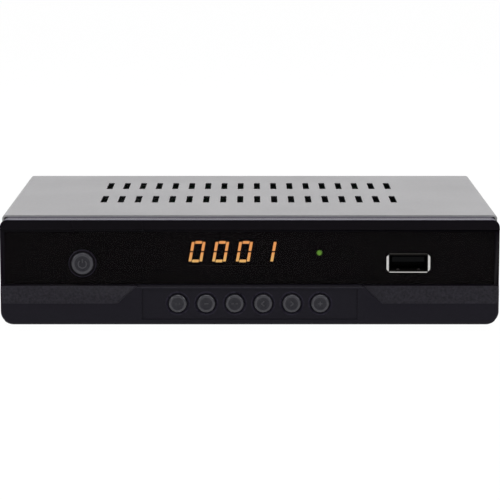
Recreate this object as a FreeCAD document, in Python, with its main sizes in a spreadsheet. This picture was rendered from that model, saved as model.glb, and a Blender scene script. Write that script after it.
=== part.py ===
import FreeCAD, Part
import math
import operator
import os

import Sketcher
from FreeCAD import Placement, Rotation, Vector

# Satellite television receiver: a moulded front on a sheet steel case, with its boards,
# buttons and sockets. Millimetres. X runs left to right seen from the front, Y from the
# front to the rear and Z up. The origin is on the surface the feet stand on, under the
# middle of the whole object, its rear studs included.

# Driving dimensions: alias, value, meaning
SIZES = (
    ("bezel_width", 168.0, "front moulding, side to side"),
    ("bezel_height", 35.6, "front moulding, top to bottom"),
    ("bezel_depth", 6.5, "visible depth of the front moulding"),
    ("body_depth", 110.0, "foremost plane to outer face of the rear wall"),
    ("foot_height", 3.0, "rubber foot below the tray"),
    ("bezel_drop", 0.5, "front moulding below the underside of the tray"),
    ("front_corner_top", 3.0, "outline radius of the upper front corners"),
    ("front_corner_base", 4.3, "outline radius of the lower front corners"),
    ("front_edge_round", 1.0, "rounding round the lower front face"),
    ("strip_edge_round", 0.8, "rounding round the upper strip"),
    ("mould_wall", 2.0, "wall of the front moulding"),
    ("shelf_wall", 1.6, "shelf between upper and lower front"),
    ("strip_setback", 0.6, "upper strip behind the foremost plane"),
    ("strip_height", 3.7, "upper strip, top to bottom"),
    ("window_setback", 1.8, "window face behind the foremost plane"),
    ("window_sheet", 1.5, "acrylic window thickness"),
    ("window_margin", 0.7, "window below the upper strip"),
    ("window_side", 1.6, "moulded rim beside the window"),
    ("window_gap", 0.1, "clearance round and behind the window"),
    ("seat_wall", 1.5, "wall behind the window"),
    ("ledge_height", 13.3, "lower front, bottom to ledge"),
    ("wing_height", 6.2, "sloped bands, crease to ledge"),
    ("wing_depth", 1.6, "sloped band's depth at the ledge"),
    ("wing_low_x", 44.6, "inner end of the sloped band at the crease"),
    ("wing_high_x", 37.6, "inner end of the sloped band at the ledge"),
    ("panel_half", 36.3, "half width of the recessed button panel"),
    ("panel_recess", 0.4, "depth of the recessed button panel"),
    ("panel_margin", 1.3, "top of the recess below the ledge"),
    ("panel_base", 1.6, "bottom of the recess above the bottom of the front"),
    ("lip_length", 3.0, "tongue of the front moulding inside the case"),
    ("lip_wall", 1.5, "thickness of that tongue"),
    ("fit_gap", 0.3, "clearance between mouldings and sheet metal"),
    ("cover_sheet", 0.7, "cover's steel sheet"),
    ("cover_rise", 0.7, "cover above the top of the front"),
    ("cover_inset", 0.4, "cover narrower than the front, each side"),
    ("cover_bend", 1.2, "outer bend radius of the cover"),
    ("cover_flange", 7.0, "cover's folded rear flange, top to bottom"),
    ("vent_count", 18, "slots in each row"),
    ("vent_pitch", 6.0, "slot to slot"),
    ("vent_x", -0.35, "middle of the rows"),
    ("vent_width", 2.1, "slot width"),
    ("vent_length", 16.4, "slot length"),
    ("vent_front_row", 45.3, "middle of the front row behind the foremost plane"),
    ("vent_rear_row", 80.6, "middle of the rear row behind the foremost plane"),
    ("tray_sheet", 0.8, "tray's steel sheet"),
    ("tray_flange", 12.0, "tray's side flanges, top to bottom"),
    ("tray_gap", 0.15, "tray inside the cover, each side"),
    ("floor_vent_count", 9, "slots in each row under the case"),
    ("floor_vent_pitch", 8.0, "slot to slot under the case"),
    ("floor_vent_width", 2.4, "slot width under the case"),
    ("floor_vent_length", 20.0, "slot length under the case"),
    ("floor_vent_row", 56.0, "middle of the floor slots behind the foremost plane"),
    ("foot_radius", 6.0, "rubber foot"),
    ("foot_inset", 16.75, "feet from the sides of the tray"),
    ("foot_front", 25.0, "front feet behind the foremost plane"),
    ("foot_rear", 99.0, "rear feet behind the foremost plane"),
    ("button_radius", 3.05, "front buttons"),
    ("button_pitch", 9.6, "button to button"),
    ("button_count", 6, "buttons in the row"),
    ("button_group_x", -0.25, "middle of the row"),
    ("button_lift", 0.3, "row above the middle of the recess"),
    ("button_rim", 3.65, "outer radius of the bevel round a button"),
    ("button_gap", 0.12, "clearance round a cap"),
    ("cap_proud", 0.5, "caps ahead of the foremost plane"),
    ("cap_flange", 0.8, "retaining flange wider than the cap"),
    ("cap_flange_sheet", 1.0, "thickness of that flange"),
    ("stem_radius", 1.75, "stem behind a cap"),
    ("travel", 0.5, "press of every button"),
    ("power_stem", 0.8, "power button's stem behind its flange"),
    ("power_side", 27.7, "power button from the left side"),
    ("power_fall", 1.75, "power button below the middle of the window"),
    ("power_radius", 3.75, "power button"),
    ("power_proud", 0.9, "power button ahead of the window"),
    ("power_ring", 4.7, "outer radius of the collar round it"),
    ("collar_proud", 0.25, "collar ahead of the window"),
    ("board_sheet", 1.6, "printed circuit boards"),
    ("front_board_side", 7.0, "front board inside the sides of the front"),
    ("front_board_base", 3.8, "front board above the bottom of the front"),
    ("front_board_top", 4.1, "front board below the top of the front"),
    ("boss_radius", 2.9, "screw bosses of the front moulding"),
    ("boss_inset", 5.0, "bosses from the sides of the front board"),
    ("boss_rise", 3.3, "bosses from the bottom and top of the front board"),
    ("switch_side", 6.0, "tact switch, square"),
    ("switch_height", 3.5, "tact switch body"),
    ("plunger_radius", 1.7, "tact switch plunger"),
    ("plunger_reach", 1.5, "plunger ahead of its switch"),
    ("plunger_seat", 1.0, "plunger inside its switch at rest"),
    ("display_x", -5.8, "middle of the display"),
    ("display_lift", 1.75, "display above the middle of the window"),
    ("display_width", 30.2, "display module"),
    ("display_height", 10.2, "display module"),
    ("display_gap", 0.2, "display behind the front moulding"),
    ("digit_pitch", 8.0, "digit to digit"),
    ("digit_width", 4.6, "one digit, without its slant"),
    ("digit_height", 7.2, "one digit"),
    ("digit_slant", 10.0, "degrees from upright"),
    ("segment_width", 1.05, "bar of a digit"),
    ("segment_gap", 0.18, "gap between bars"),
    ("segment_sheet", 0.15, "bars ahead of the module"),
    ("lamp_x", 23.5, "status lamp from the middle"),
    ("lamp_lift", 1.55, "status lamp above the middle of the window"),
    ("lamp_radius", 0.95, "lens of the status lamp"),
    ("lamp_flange", 1.45, "base of the status lamp"),
    ("eye_x", 33.0, "remote control receiver from the middle"),
    ("eye_radius", 2.2, "lens of the remote control receiver"),
    ("eye_case", 3.1, "half width of the remote control receiver's case"),
    ("usb_side", 30.6, "front socket from the right side"),
    ("usb_fall", 1.55, "front socket below the middle of the window"),
    ("usb_width", 12.5, "front socket's opening"),
    ("usb_height", 5.12, "front socket's opening"),
    ("usb_sheet", 0.3, "front socket's shell"),
    ("usb_lip", 1.1, "flared lip of the shell, sideways"),
    ("usb_lip_high", 0.68, "flared lip of the shell, upwards"),
    ("usb_lip_sheet", 0.35, "flared lip ahead of the window"),
    ("tongue_width", 11.1, "front socket's tongue"),
    ("tongue_height", 1.84, "front socket's tongue"),
    ("tongue_setback", 1.2, "tongue behind the mouth"),
    ("tongue_gap", 0.5, "front socket's opening above the tongue"),
    ("contact_width", 1.0, "contacts of the front socket"),
    ("contact_sheet", 0.15, "contacts of the front socket"),
    ("contact_inner_x", 1.0, "inner contacts from the socket's middle"),
    ("contact_outer_x", 3.5, "outer contacts from the socket's middle"),
    ("main_board_side", 8.75, "main board inside the sides of the tray"),
    ("main_board_front", 20.0, "main board's front edge behind the foremost plane"),
    ("main_board_back_gap", 0.6, "main board ahead of the rear wall"),
    ("standoff", 4.0, "main board above the tray"),
    ("standoff_radius", 3.2, "pressed standoffs of the tray"),
    ("standoff_inset", 8.0, "standoffs from the sides of the main board"),
    ("standoff_front", 36.0, "front standoffs behind the foremost plane"),
    ("standoff_rear", 76.0, "rear standoffs behind the foremost plane"),
    ("screw_radius", 1.25, "inner screws"),
    ("screw_length", 5.0, "inner screws"),
    ("screw_head", 2.4, "inner screws' head radius"),
    ("screw_head_height", 1.5, "inner screws' head"),
    ("cover_screw_radius", 1.45, "cover screws"),
    ("cover_screw_length", 6.0, "cover screws"),
    ("cover_screw_head", 2.75, "cover screws' head radius"),
    ("cover_screw_head_height", 1.8, "cover screws' head"),
    ("cover_screw_inset", 12.75, "outer cover screws from the sides of the tray"),
    ("hole_gap", 0.2, "clearance hole round a screw"),
    ("pilot_gap", 0.03, "pilot hole round a screw"),
    ("tab_side", 32.0, "front screw tabs from the sides of the front"),
    ("tab_width", 10.0, "front screw tabs"),
    ("tab_height", 2.0, "front screw tabs"),
    ("tab_reach", 6.9, "front screw tabs behind the visible front"),
    ("tab_screw_reach", 3.95, "their screws behind the visible front"),
    ("can_side", 2.0, "tuner can from the left side of the main board"),
    ("can_width", 38.0, "tuner can"),
    ("can_depth", 30.0, "tuner can"),
    ("can_height", 14.0, "tuner can"),
    ("can_sheet", 0.4, "tuner can"),
    ("stud_spacing", 20.0, "dish cable studs, one to the other"),
    ("stud_rise", 7.0, "dish cable studs above the board"),
    ("stud_reach", 11.0, "dish cable studs behind the rear wall"),
    ("stud_radius", 4.7, "threaded end of a stud"),
    ("stud_base_radius", 4.95, "plain base of a stud"),
    ("stud_bore", 3.4, "bore of a stud"),
    ("stud_bore_depth", 8.0, "bore of a stud"),
    ("contact_hole", 0.6, "hole of a stud's insulator"),
    ("nut_sheet", 2.0, "stud nuts"),
    ("nut_flats", 11.0, "stud nuts, across flats"),
    ("hdmi_space", 3.0, "video socket from the wide socket"),
    ("hdmi_width", 14.0, "video socket's opening"),
    ("hdmi_height", 4.55, "video socket's opening"),
    ("hdmi_sheet", 0.4, "video socket's shell"),
    ("hdmi_slant", 1.9, "corner cut of the video socket"),
    ("hdmi_depth", 10.0, "video socket"),
    ("hdmi_proud", 0.6, "video socket behind the rear wall"),
    ("hdmi_rise", 3.2, "video socket's axis above the board"),
    ("hdmi_tongue_width", 10.6, "video socket's tongue"),
    ("hdmi_tongue_height", 1.2, "video socket's tongue"),
    ("hdmi_foot", 2.0, "foot under the rear of the video socket"),
    ("scart_space", 2.5, "wide socket from the round one"),
    ("scart_width", 47.4, "wide socket's block"),
    ("scart_height", 17.4, "wide socket's block"),
    ("scart_depth", 17.0, "wide socket's block ahead of the rear wall"),
    ("scart_proud", 1.2, "wide socket behind the rear wall"),
    ("scart_rim", 1.4, "wall outside the groove"),
    ("scart_groove", 1.8, "groove for the plug's shield"),
    ("scart_groove_depth", 7.0, "groove for the plug's shield"),
    ("scart_corner", 5.5, "slanted corner of the groove"),
    ("scart_slot_count", 10, "contact slots in each row"),
    ("scart_slot_pitch", 3.81, "contact slot to contact slot"),
    ("scart_slot_width", 1.1, "contact slot"),
    ("scart_slot_height", 3.4, "contact slot"),
    ("scart_slot_depth", 6.0, "contact slot"),
    ("scart_row", 2.6, "rows from the middle of the socket"),
    ("audio_space", 2.5, "round audio socket from the supply socket"),
    ("audio_width", 10.4, "round audio socket's block"),
    ("audio_height", 12.6, "round audio socket's block"),
    ("audio_depth", 10.0, "round audio socket's block"),
    ("audio_rise", 7.6, "round audio socket's axis above the board"),
    ("audio_ring", 4.15, "outer radius of its metal ring"),
    ("audio_ring_sheet", 0.45, "its metal ring"),
    ("audio_reach", 9.0, "metal ring behind the rear wall"),
    ("audio_hole", 1.65, "hole for the plug's pin"),
    ("audio_hole_depth", 8.0, "hole for the plug's pin"),
    ("audio_core_setback", 0.6, "core inside the ring's mouth"),
    ("supply_side", 1.0, "supply socket from the right side of the main board"),
    ("supply_width", 9.0, "supply socket's block"),
    ("supply_height", 11.0, "supply socket's block"),
    ("supply_depth", 13.6, "supply socket's block"),
    ("supply_rise", 6.5, "supply socket's axis above the board"),
    ("supply_proud", 0.4, "supply socket behind the rear wall"),
    ("supply_bore", 3.1, "supply socket's bore"),
    ("supply_bore_depth", 9.2, "supply socket's bore"),
    ("supply_pin", 1.0, "supply socket's pin"),
    ("supply_pin_setback", 0.4, "pin inside the mouth"),
    ("socket_gap", 0.3, "rear wall's openings round the sockets"),
    ("chip_side", 17.0, "main chip, square"),
    ("chip_height", 1.6, "main chip"),
    ("chip_x", 4.0, "main chip from the middle"),
    ("chip_setback", 56.0, "main chip behind the foremost plane"),
    ("sink_side", 22.0, "heat sink, square"),
    ("sink_base", 2.0, "heat sink's plate"),
    ("sink_height", 9.0, "heat sink"),
    ("fin_count", 6, "heat sink's fins"),
    ("fin_sheet", 1.2, "heat sink's fins"),
    ("memory_width", 8.0, "memory chip"),
    ("memory_depth", 13.0, "memory chip"),
    ("memory_height", 1.1, "memory chip"),
    ("memory_space", 9.5, "memory chip from the main chip"),
    ("capacitor_radius", 4.0, "electrolytic capacitors"),
    ("capacitor_height", 11.5, "electrolytic capacitors"),
    ("capacitor_count", 5, "electrolytic capacitors"),
    ("capacitor_pitch", 11.0, "capacitor to capacitor"),
    ("capacitor_setback", 51.0, "first capacitors behind the foremost plane"),
    ("capacitor_side", 28.0, "first capacitor from the right side of the main board"),
    ("coil_side", 7.3, "power coils, square"),
    ("coil_height", 4.2, "power coils"),
    ("coil_setback", 37.0, "power coils behind the foremost plane"),
    ("ribbon_x", -24.0, "ribbon cable from the middle"),
    ("ribbon_width", 15.0, "ribbon cable"),
    ("ribbon_sheet", 0.3, "ribbon cable"),
    ("ribbon_rise", 16.0, "ribbon cable above the underside of the tray"),
    ("ribbon_setback", 27.0, "ribbon cable's fall behind the foremost plane"),
    ("ribbon_bend", 2.0, "ribbon cable's bend"),
    ("ribbon_socket_width", 18.0, "ribbon sockets"),
    ("ribbon_socket_depth", 4.0, "ribbon sockets"),
    ("ribbon_socket_height", 4.4, "ribbon sockets"),
)

OVERSHOOT = 1.0
HALF_HEX_ANGLE = 30
SIDES = {"left": -1, "right": 1}

doc = FreeCAD.newDocument("Receiver")
sheet = doc.addObject("Spreadsheet::Sheet", "Sizes")
for row, (alias, value, meaning) in enumerate(SIZES, start=1):
    sheet.set(f"A{row}", str(value))
    sheet.setAlias(f"A{row}", alias)
    sheet.set(f"B{row}", meaning)
doc.recompute()


class Size:
    """A number together with the sheet formula that gives it."""

    signs = {"+": operator.add, "-": operator.sub, "*": operator.mul, "/": operator.truediv}

    def __init__(self, value, formula):
        self.value = value
        self.formula = formula

    def join(self, sign, other, turned=False):
        first, second = (as_size(other), self) if turned else (self, as_size(other))
        value = self.signs[sign](first.value, second.value)
        return Size(value, f"({first.formula} {sign} {second.formula})")

    def __add__(self, other):
        return self.join("+", other)

    def __radd__(self, other):
        return self.join("+", other, turned=True)

    def __sub__(self, other):
        return self.join("-", other)

    def __rsub__(self, other):
        return self.join("-", other, turned=True)

    def __mul__(self, other):
        return self.join("*", other)

    def __rmul__(self, other):
        return self.join("*", other, turned=True)

    def __truediv__(self, other):
        return self.join("/", other)

    def __neg__(self):
        return self.join("*", -1)


def as_size(value):
    """The same value as a Size, whether it is one already or a plain number."""
    return value if isinstance(value, Size) else Size(float(value), repr(float(value)))


class Dimensions:
    """Every alias of the sheet as an attribute."""


d = Dimensions()
for alias, value, meaning in SIZES:
    setattr(d, alias, Size(float(getattr(sheet, alias)), f"Sizes.{alias}"))


def bind(thing, name, size):
    """Tie one property of an object to the sheet."""
    thing.setExpression(name, as_size(size).formula)


def put(thing, x=0, y=0, z=0, turn=None):
    """Stand an object at a point that follows the sheet."""
    spot = [as_size(value) for value in (x, y, z)]
    thing.Placement = Placement(Vector(*[size.value for size in spot]), turn or Rotation())
    for axis, size in zip("xyz", spot):
        bind(thing, f"Placement.Base.{axis}", size)
    return thing


TURNS = {
    "X": Rotation(Vector(0, 1, 0), 90),
    "Y": Rotation(Vector(1, 0, 0), -90),
    "Z": Rotation(),
}


def block(name, x, y, z):
    """A rectangular block between two values on each axis."""
    thing = doc.addObject("Part::Box", name)
    for prop, (low, high) in zip(("Length", "Width", "Height"), (x, y, z)):
        bind(thing, prop, as_size(high) - low)
    return put(thing, x[0], y[0], z[0])


def rod(name, radius, axis, start, end, across):
    """A cylinder along one axis, centred on the two other coordinates in X, Y, Z order."""
    thing = doc.addObject("Part::Cylinder", name)
    bind(thing, "Radius", radius)
    bind(thing, "Height", as_size(end) - start)
    spot = list(across)
    spot.insert("XYZ".index(axis), start)
    return put(thing, *spot, turn=TURNS[axis])


def cut(name, base, *tools):
    """A solid with others taken away."""
    for number, tool in enumerate(tools, start=1):
        result = doc.addObject("Part::Cut", name if number == len(tools) else f"{name}_{number}")
        result.Base = base
        result.Tool = tool
        base = result
    return result


def join(name, *parts):
    """Several solids made one."""
    thing = doc.addObject("Part::MultiFuse", name)
    thing.Shapes = list(parts)
    thing.Refine = True
    return thing


def group(name, parts):
    """Like pieces that stay separate solids under one name."""
    thing = doc.addObject("Part::Compound", name)
    thing.Links = list(parts)
    return thing


def origin_plane(body, role):
    """One of a body's own three planes."""
    return next(item for item in body.Origin.OriginFeatures if item.Role == role)


def polygon(sketch, corners):
    """A closed outline whose every corner is dimensioned from the sketch's origin."""
    first = sketch.GeometryCount
    count = len(corners)
    spots = [Vector(as_size(u).value, as_size(v).value, 0) for u, v in corners]
    for index in range(count):
        sketch.addGeometry(Part.LineSegment(spots[index], spots[(index + 1) % count]))
    for index in range(count):
        following = first + (index + 1) % count
        sketch.addConstraint(Sketcher.Constraint("Coincident", first + index, 2, following, 1))
    for index, corner in enumerate(corners):
        hold(sketch, first + index, 1, corner)


def hold(sketch, curve, point, spot):
    """Dimension one point of a sketch from the sketch's origin."""
    for kind, value in zip(("DistanceX", "DistanceY"), spot):
        size = as_size(value)
        rule = Sketcher.Constraint(kind, -1, 1, curve, point, size.value)
        index = sketch.addConstraint(rule)
        bind(sketch, f"Constraints[{index}]", size)


def circle(sketch, u, v, radius):
    """A circle dimensioned from the sketch's origin."""
    curve = sketch.GeometryCount
    centre = Vector(as_size(u).value, as_size(v).value, 0)
    sketch.addGeometry(Part.Circle(centre, Vector(0, 0, 1), as_size(radius).value))
    hold(sketch, curve, 3, (u, v))
    index = sketch.addConstraint(Sketcher.Constraint("Radius", curve, as_size(radius).value))
    bind(sketch, f"Constraints[{index}]", radius)


def rectangle(u, v):
    """The four corners of an upright rectangle."""
    return [(u[0], v[0]), (u[1], v[0]), (u[1], v[1]), (u[0], v[1])]


PLANES = {"X": "YZ_Plane", "Y": "XZ_Plane", "Z": "XY_Plane"}


def draw(body, axis, station, outlines):
    """A sketch square to an axis at a station: polygons are lists, circles are tuples."""
    sketch = body.newObject("Sketcher::SketchObject", f"{body.Name}_sketch")
    sketch.AttachmentSupport = [(origin_plane(body, PLANES[axis]), "")]
    sketch.MapMode = "FlatFace"
    along = -as_size(station) if axis == "Y" else as_size(station)
    sketch.AttachmentOffset = Placement(Vector(0, 0, along.value), Rotation())
    bind(sketch, "AttachmentOffset.Base.z", along)
    for outline in outlines:
        if isinstance(outline, list):
            polygon(sketch, outline)
        else:
            circle(sketch, *outline)
    return sketch


def pad(body, axis, start, end, *outlines):
    """Material between two stations along an axis."""
    base = end if axis == "Y" else start
    feature = body.newObject("PartDesign::Pad", f"{body.Name}_pad")
    feature.Profile = draw(body, axis, base, outlines)
    bind(feature, "Length", as_size(end) - start)
    body.Tip = feature
    doc.recompute()
    return feature


def pocket(body, axis, start, end, *outlines):
    """Material removed between two stations along an axis."""
    base = start if axis == "Y" else end
    before = body.Shape.Volume
    feature = body.newObject("PartDesign::Pocket", f"{body.Name}_pocket")
    feature.Profile = draw(body, axis, base, outlines)
    bind(feature, "Length", as_size(end) - start)
    body.Tip = feature
    doc.recompute()
    if body.Shape.Volume >= before:
        raise ValueError(f"{feature.Name} removes nothing from {body.Name}")
    return feature


def row(body, feature, count, pitch):
    """Copies of a feature in a row along its sketch's first axis."""
    pattern = body.newObject("PartDesign::LinearPattern", f"{body.Name}_row")
    pattern.Originals = [feature]
    pattern.Direction = (feature.Profile[0], ["H_Axis"])
    bind(pattern, "Length", pitch * (count - 1))
    bind(pattern, "Occurrences", count)
    body.Tip = pattern
    doc.recompute()
    return pattern


def soften(body, kind, size, wanted):
    """Round or bevel the edges that a test picks."""
    base = body.Tip
    names = [f"Edge{number}" for number, edge in enumerate(base.Shape.Edges, 1) if wanted(edge)]
    if not names:
        raise ValueError(f"no edge of {body.Name} to soften")
    feature = body.newObject(f"PartDesign::{kind}", f"{body.Name}_{kind}")
    feature.Base = (base, names)
    bind(feature, "Radius" if kind == "Fillet" else "Size", size)
    body.Tip = feature
    doc.recompute()
    return feature


def turned(name, profile, x, y, z, axis):
    """A body of revolution: profile corners are (radius, distance along the axis)."""
    body = doc.addObject("PartDesign::Body", name)
    feature = body.newObject("PartDesign::Revolution", f"{name}_turn")
    sketch = draw(body, "Y", 0, [profile])
    feature.Profile = sketch
    feature.ReferenceAxis = (sketch, ["V_Axis"])
    feature.Angle = 360
    body.Tip = feature
    put(body, x, y, z, TURNS[axis])
    doc.recompute()
    return body


def near(value, size, slack=0.001):
    """True if a number is the one the sheet gives."""
    return abs(value - as_size(size).value) < slack


def flat_at(edge, axis, size):
    """True if a whole edge lies in the plane square to an axis at a station."""
    box = edge.BoundBox
    low = getattr(box, f"{axis}Min")
    high = getattr(box, f"{axis}Max")
    return near(low, size) and near(high, size)


def runs_along(edge, axis):
    """True for a straight edge along an axis."""
    box = edge.BoundBox
    spans = {"X": box.XLength, "Y": box.YLength, "Z": box.ZLength}
    others = [span for name, span in spans.items() if name != axis]
    return spans[axis] > 0.01 and max(others) < 0.001


# Levels that several pieces share
front = d.cap_proud - (d.body_depth + d.stud_reach + d.cap_proud) / 2
rear = front + d.body_depth
inner_rear = rear - d.tray_sheet
front_base = d.foot_height - d.bezel_drop
front_top = front_base + d.bezel_height
case_front = front + d.bezel_depth
cover_half = d.bezel_width / 2 - d.cover_inset
cover_top = front_top + d.cover_rise
bezel_half = d.bezel_width / 2
tray_half = cover_half - d.cover_sheet - d.tray_gap
tray_floor = d.foot_height + d.tray_sheet
board_base = tray_floor + d.standoff
board_top = board_base + d.board_sheet
window_face = front + d.window_setback
window_back = window_face + d.window_sheet
seat_front = window_back + d.window_gap
seat_back = seat_front + d.seat_wall
power_flange_back = seat_back + d.fit_gap + d.cap_flange_sheet
plunger_front = power_flange_back + d.power_stem
switch_front = plunger_front + d.plunger_reach
front_board = switch_front + d.switch_height
front_board_back = front_board + d.board_sheet
front_board_half = bezel_half - d.front_board_side
boss_x = front_board_half - d.boss_inset
boss_levels = (
    d.front_board_base + d.boss_rise,
    d.bezel_height - d.front_board_top - d.boss_rise,
)
strip_base = d.bezel_height - d.strip_height
crease = d.ledge_height - d.wing_height
panel_top = d.ledge_height - d.panel_margin
window_top = strip_base - d.window_margin
window_middle = (d.ledge_height + window_top) / 2
button_level = (d.panel_base + panel_top) / 2 + d.button_lift
power_level = window_middle - d.power_fall
display_level = window_middle + d.display_lift
lamp_level = window_middle + d.lamp_lift
usb_level = window_middle - d.usb_fall
button_z = front_base + button_level
power_z = front_base + power_level
display_z = front_base + display_level
lamp_z = front_base + lamp_level
usb_z = front_base + usb_level
power_x = d.power_side - bezel_half
usb_x = bezel_half - d.usb_side
tab_x = bezel_half - d.tab_side
main_board_half = tray_half - d.main_board_side
standoff_x = main_board_half - d.standoff_inset
foot_x = tray_half - d.foot_inset
cover_screw_x = tray_half - d.cover_screw_inset
screw_hole = d.screw_radius + d.hole_gap
screw_pilot = d.screw_radius + d.pilot_gap
cover_screw_hole = d.cover_screw_radius + d.hole_gap
cover_screw_pilot = d.cover_screw_radius + d.pilot_gap
cover_screw_z = cover_top - d.cover_flange / 2 - d.cover_sheet / 2
button_places = [
    d.button_group_x + d.button_pitch * (number - (d.button_count - 1) / 2)
    for number in range(round(d.button_count.value))
]
can_x = d.can_side + d.can_width / 2 - main_board_half
supply_x = main_board_half - d.supply_side - d.supply_width / 2
audio_x = supply_x - (d.supply_width + d.audio_width) / 2 - d.audio_space
scart_x = audio_x - (d.audio_width + d.scart_width) / 2 - d.scart_space
hdmi_half = d.hdmi_width / 2 + d.hdmi_sheet
hdmi_high = d.hdmi_height / 2 + d.hdmi_sheet
hdmi_x = scart_x - d.scart_width / 2 - d.hdmi_space - hdmi_half
memory_x = d.chip_x + (d.chip_side + d.memory_width) / 2 + d.memory_space
capacitor_x = main_board_half - d.capacitor_side
stud_places = {
    "lnb_in": can_x - d.stud_spacing / 2,
    "loop_out": can_x + d.stud_spacing / 2,
}
stud_z = board_top + d.stud_rise
hdmi_z = board_top + d.hdmi_rise
scart_z = board_top + d.scart_height / 2
audio_z = board_top + d.audio_rise
audio_core = d.audio_ring - d.audio_ring_sheet - d.pilot_gap
supply_z = board_top + d.supply_rise
tab_screw_y = case_front + d.tab_screw_reach
display_face = seat_back + d.display_gap
usb_hole_half = d.usb_width / 2 + d.usb_sheet + d.window_gap
usb_hole_high = d.usb_height / 2 + d.usb_sheet + d.window_gap

tab_places = (-tab_x, tab_x)
cover_screw_places = (-cover_screw_x, as_size(0), cover_screw_x)

nodes = {}


def name_node(name, thing):
    """Give a finished piece its name."""
    thing.Label = name
    nodes[name] = thing
    return thing


def make_front_bezel():
    """Moulded front: strip, window seat, ledge, sloped wings, button panel, tongue and bosses."""
    body = doc.addObject("PartDesign::Body", "front_bezel")
    half = bezel_half
    section = [
        (0, 0),
        (0, d.ledge_height),
        (d.window_setback, d.ledge_height),
        (d.window_setback, strip_base),
        (d.strip_setback, strip_base),
        (d.strip_setback, d.bezel_height),
        (d.bezel_depth, d.bezel_height),
        (d.bezel_depth, 0),
    ]
    pad(body, "X", -half, half, section)
    for radius, level in ((d.front_corner_base, 0), (d.front_corner_top, d.bezel_height)):
        soften(body, "Fillet", radius, lambda edge: runs_along(edge, "Y") and flat_at(edge, "Z", level))
    soften(body, "Fillet", d.front_edge_round, lambda edge: flat_at(edge, "Y", 0))
    soften(body, "Fillet", d.strip_edge_round, lambda edge: flat_at(edge, "Y", d.strip_setback))

    for side, sign in SIDES.items():
        wedge = body.newObject("PartDesign::SubtractiveWedge", f"wing_{side}")
        wedge.Placement = Placement(Vector(), Rotation(Vector(1, 0, 0), 90))
        bind(wedge, "Placement.Base.z", crease)
        ends = [(d.wing_low_x, half + OVERSHOOT), (d.wing_high_x, half + OVERSHOOT)]
        if sign < 0:
            ends = [(-outer, -inner) for inner, outer in ends]
        for names, (low, high) in zip((("Xmin", "Xmax"), ("X2min", "X2max")), ends):
            bind(wedge, names[0], low)
            bind(wedge, names[1], high)
        bind(wedge, "Ymin", 0)
        bind(wedge, "Ymax", d.wing_height)
        bind(wedge, "Zmin", 0)
        bind(wedge, "Zmax", OVERSHOOT)
        bind(wedge, "Z2min", -d.wing_depth)
        bind(wedge, "Z2max", OVERSHOOT)
        body.Tip = wedge
        doc.recompute()

    pocket(
        body, "Y", 0, d.panel_recess,
        rectangle((-d.panel_half, d.panel_half), (d.panel_base, panel_top)),
    )

    window_half = half - d.window_side
    seat_depth = seat_front - front
    wall_depth = seat_back - front
    pocket(
        body, "Y", d.window_setback, seat_depth,
        rectangle((-window_half, window_half), (d.ledge_height, window_top)),
    )

    inner_half = half - d.mould_wall
    shelf = d.ledge_height - d.shelf_wall
    top_inside = d.bezel_height - d.mould_wall
    cavities = (
        (wall_depth, inner_half, (shelf, top_inside)),
        (d.wing_depth + d.mould_wall, inner_half, (d.mould_wall, shelf)),
        (d.panel_recess + d.mould_wall, d.panel_half, (d.mould_wall, shelf)),
    )
    for depth, reach, levels in cavities:
        pocket(body, "Y", depth, d.bezel_depth, rectangle((-reach, reach), levels))

    lip_half = cover_half - d.cover_sheet - d.fit_gap
    lip_base = d.bezel_drop + d.tray_sheet
    lip_top = d.bezel_height + d.cover_rise - d.cover_sheet - d.fit_gap
    lip_root = d.bezel_depth - d.lip_wall
    lip_end = d.bezel_depth + d.lip_length
    pad(
        body, "Y", lip_root, lip_end,
        rectangle((-lip_half, lip_half), (lip_base, lip_top)),
        rectangle(
            (d.lip_wall - lip_half, lip_half - d.lip_wall),
            (lip_base + d.lip_wall, lip_top - d.lip_wall),
        ),
    )

    boss_root = d.wing_depth + d.mould_wall - d.window_gap
    boss_end = front_board - front
    pilot_start = boss_end - d.screw_length
    for x in (-boss_x, boss_x):
        for z in boss_levels:
            pad(body, "Y", boss_root, boss_end, (x, z, d.boss_radius))
            pocket(body, "Y", pilot_start, boss_end, (x, z, screw_pilot))

    tab_top = lip_base + d.tab_height
    for x in tab_places:
        tab = rectangle((x - d.tab_width / 2, x + d.tab_width / 2), (lip_base, tab_top))
        pad(body, "Y", d.bezel_depth, d.bezel_depth + d.tab_reach, tab)
        pocket(body, "Z", lip_base, tab_top, (x, tab_screw_y - front, screw_pilot))

    collar_front = d.window_setback - d.collar_proud
    pad(body, "Y", collar_front, seat_depth, (power_x, power_level, d.power_ring))
    pocket(
        body, "Y", collar_front, wall_depth,
        (power_x, power_level, d.power_radius + d.button_gap),
    )
    soften(
        body, "Fillet", d.collar_proud,
        lambda edge: flat_at(edge, "Y", collar_front) and near(edge.BoundBox.XLength, 2 * d.power_ring),
    )

    display_half = d.display_width / 2 - d.segment_width
    display_high = d.display_height / 2 - d.segment_width / 2
    openings = (
        rectangle(
            (d.display_x - display_half, d.display_x + display_half),
            (display_level - display_high, display_level + display_high),
        ),
        rectangle(
            (usb_x - usb_hole_half, usb_x + usb_hole_half),
            (usb_level - usb_hole_high, usb_level + usb_hole_high),
        ),
        (d.lamp_x, lamp_level, d.lamp_radius + d.window_gap),
        (d.eye_x, lamp_level, d.eye_radius + d.window_gap),
    )
    pocket(body, "Y", seat_depth, wall_depth, *openings)

    hole = d.button_radius + d.button_gap
    first = pocket(
        body, "Y", d.panel_recess, d.panel_recess + d.mould_wall,
        (button_places[0], button_level, hole),
    )
    row(body, first, d.button_count, d.button_pitch)
    soften(
        body, "Chamfer", d.button_rim - hole,
        lambda edge: flat_at(edge, "Y", d.panel_recess) and near(edge.BoundBox.XLength, 2 * hole),
    )
    put(body, 0, front, front_base)
    name_node("front_bezel", body)


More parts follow.
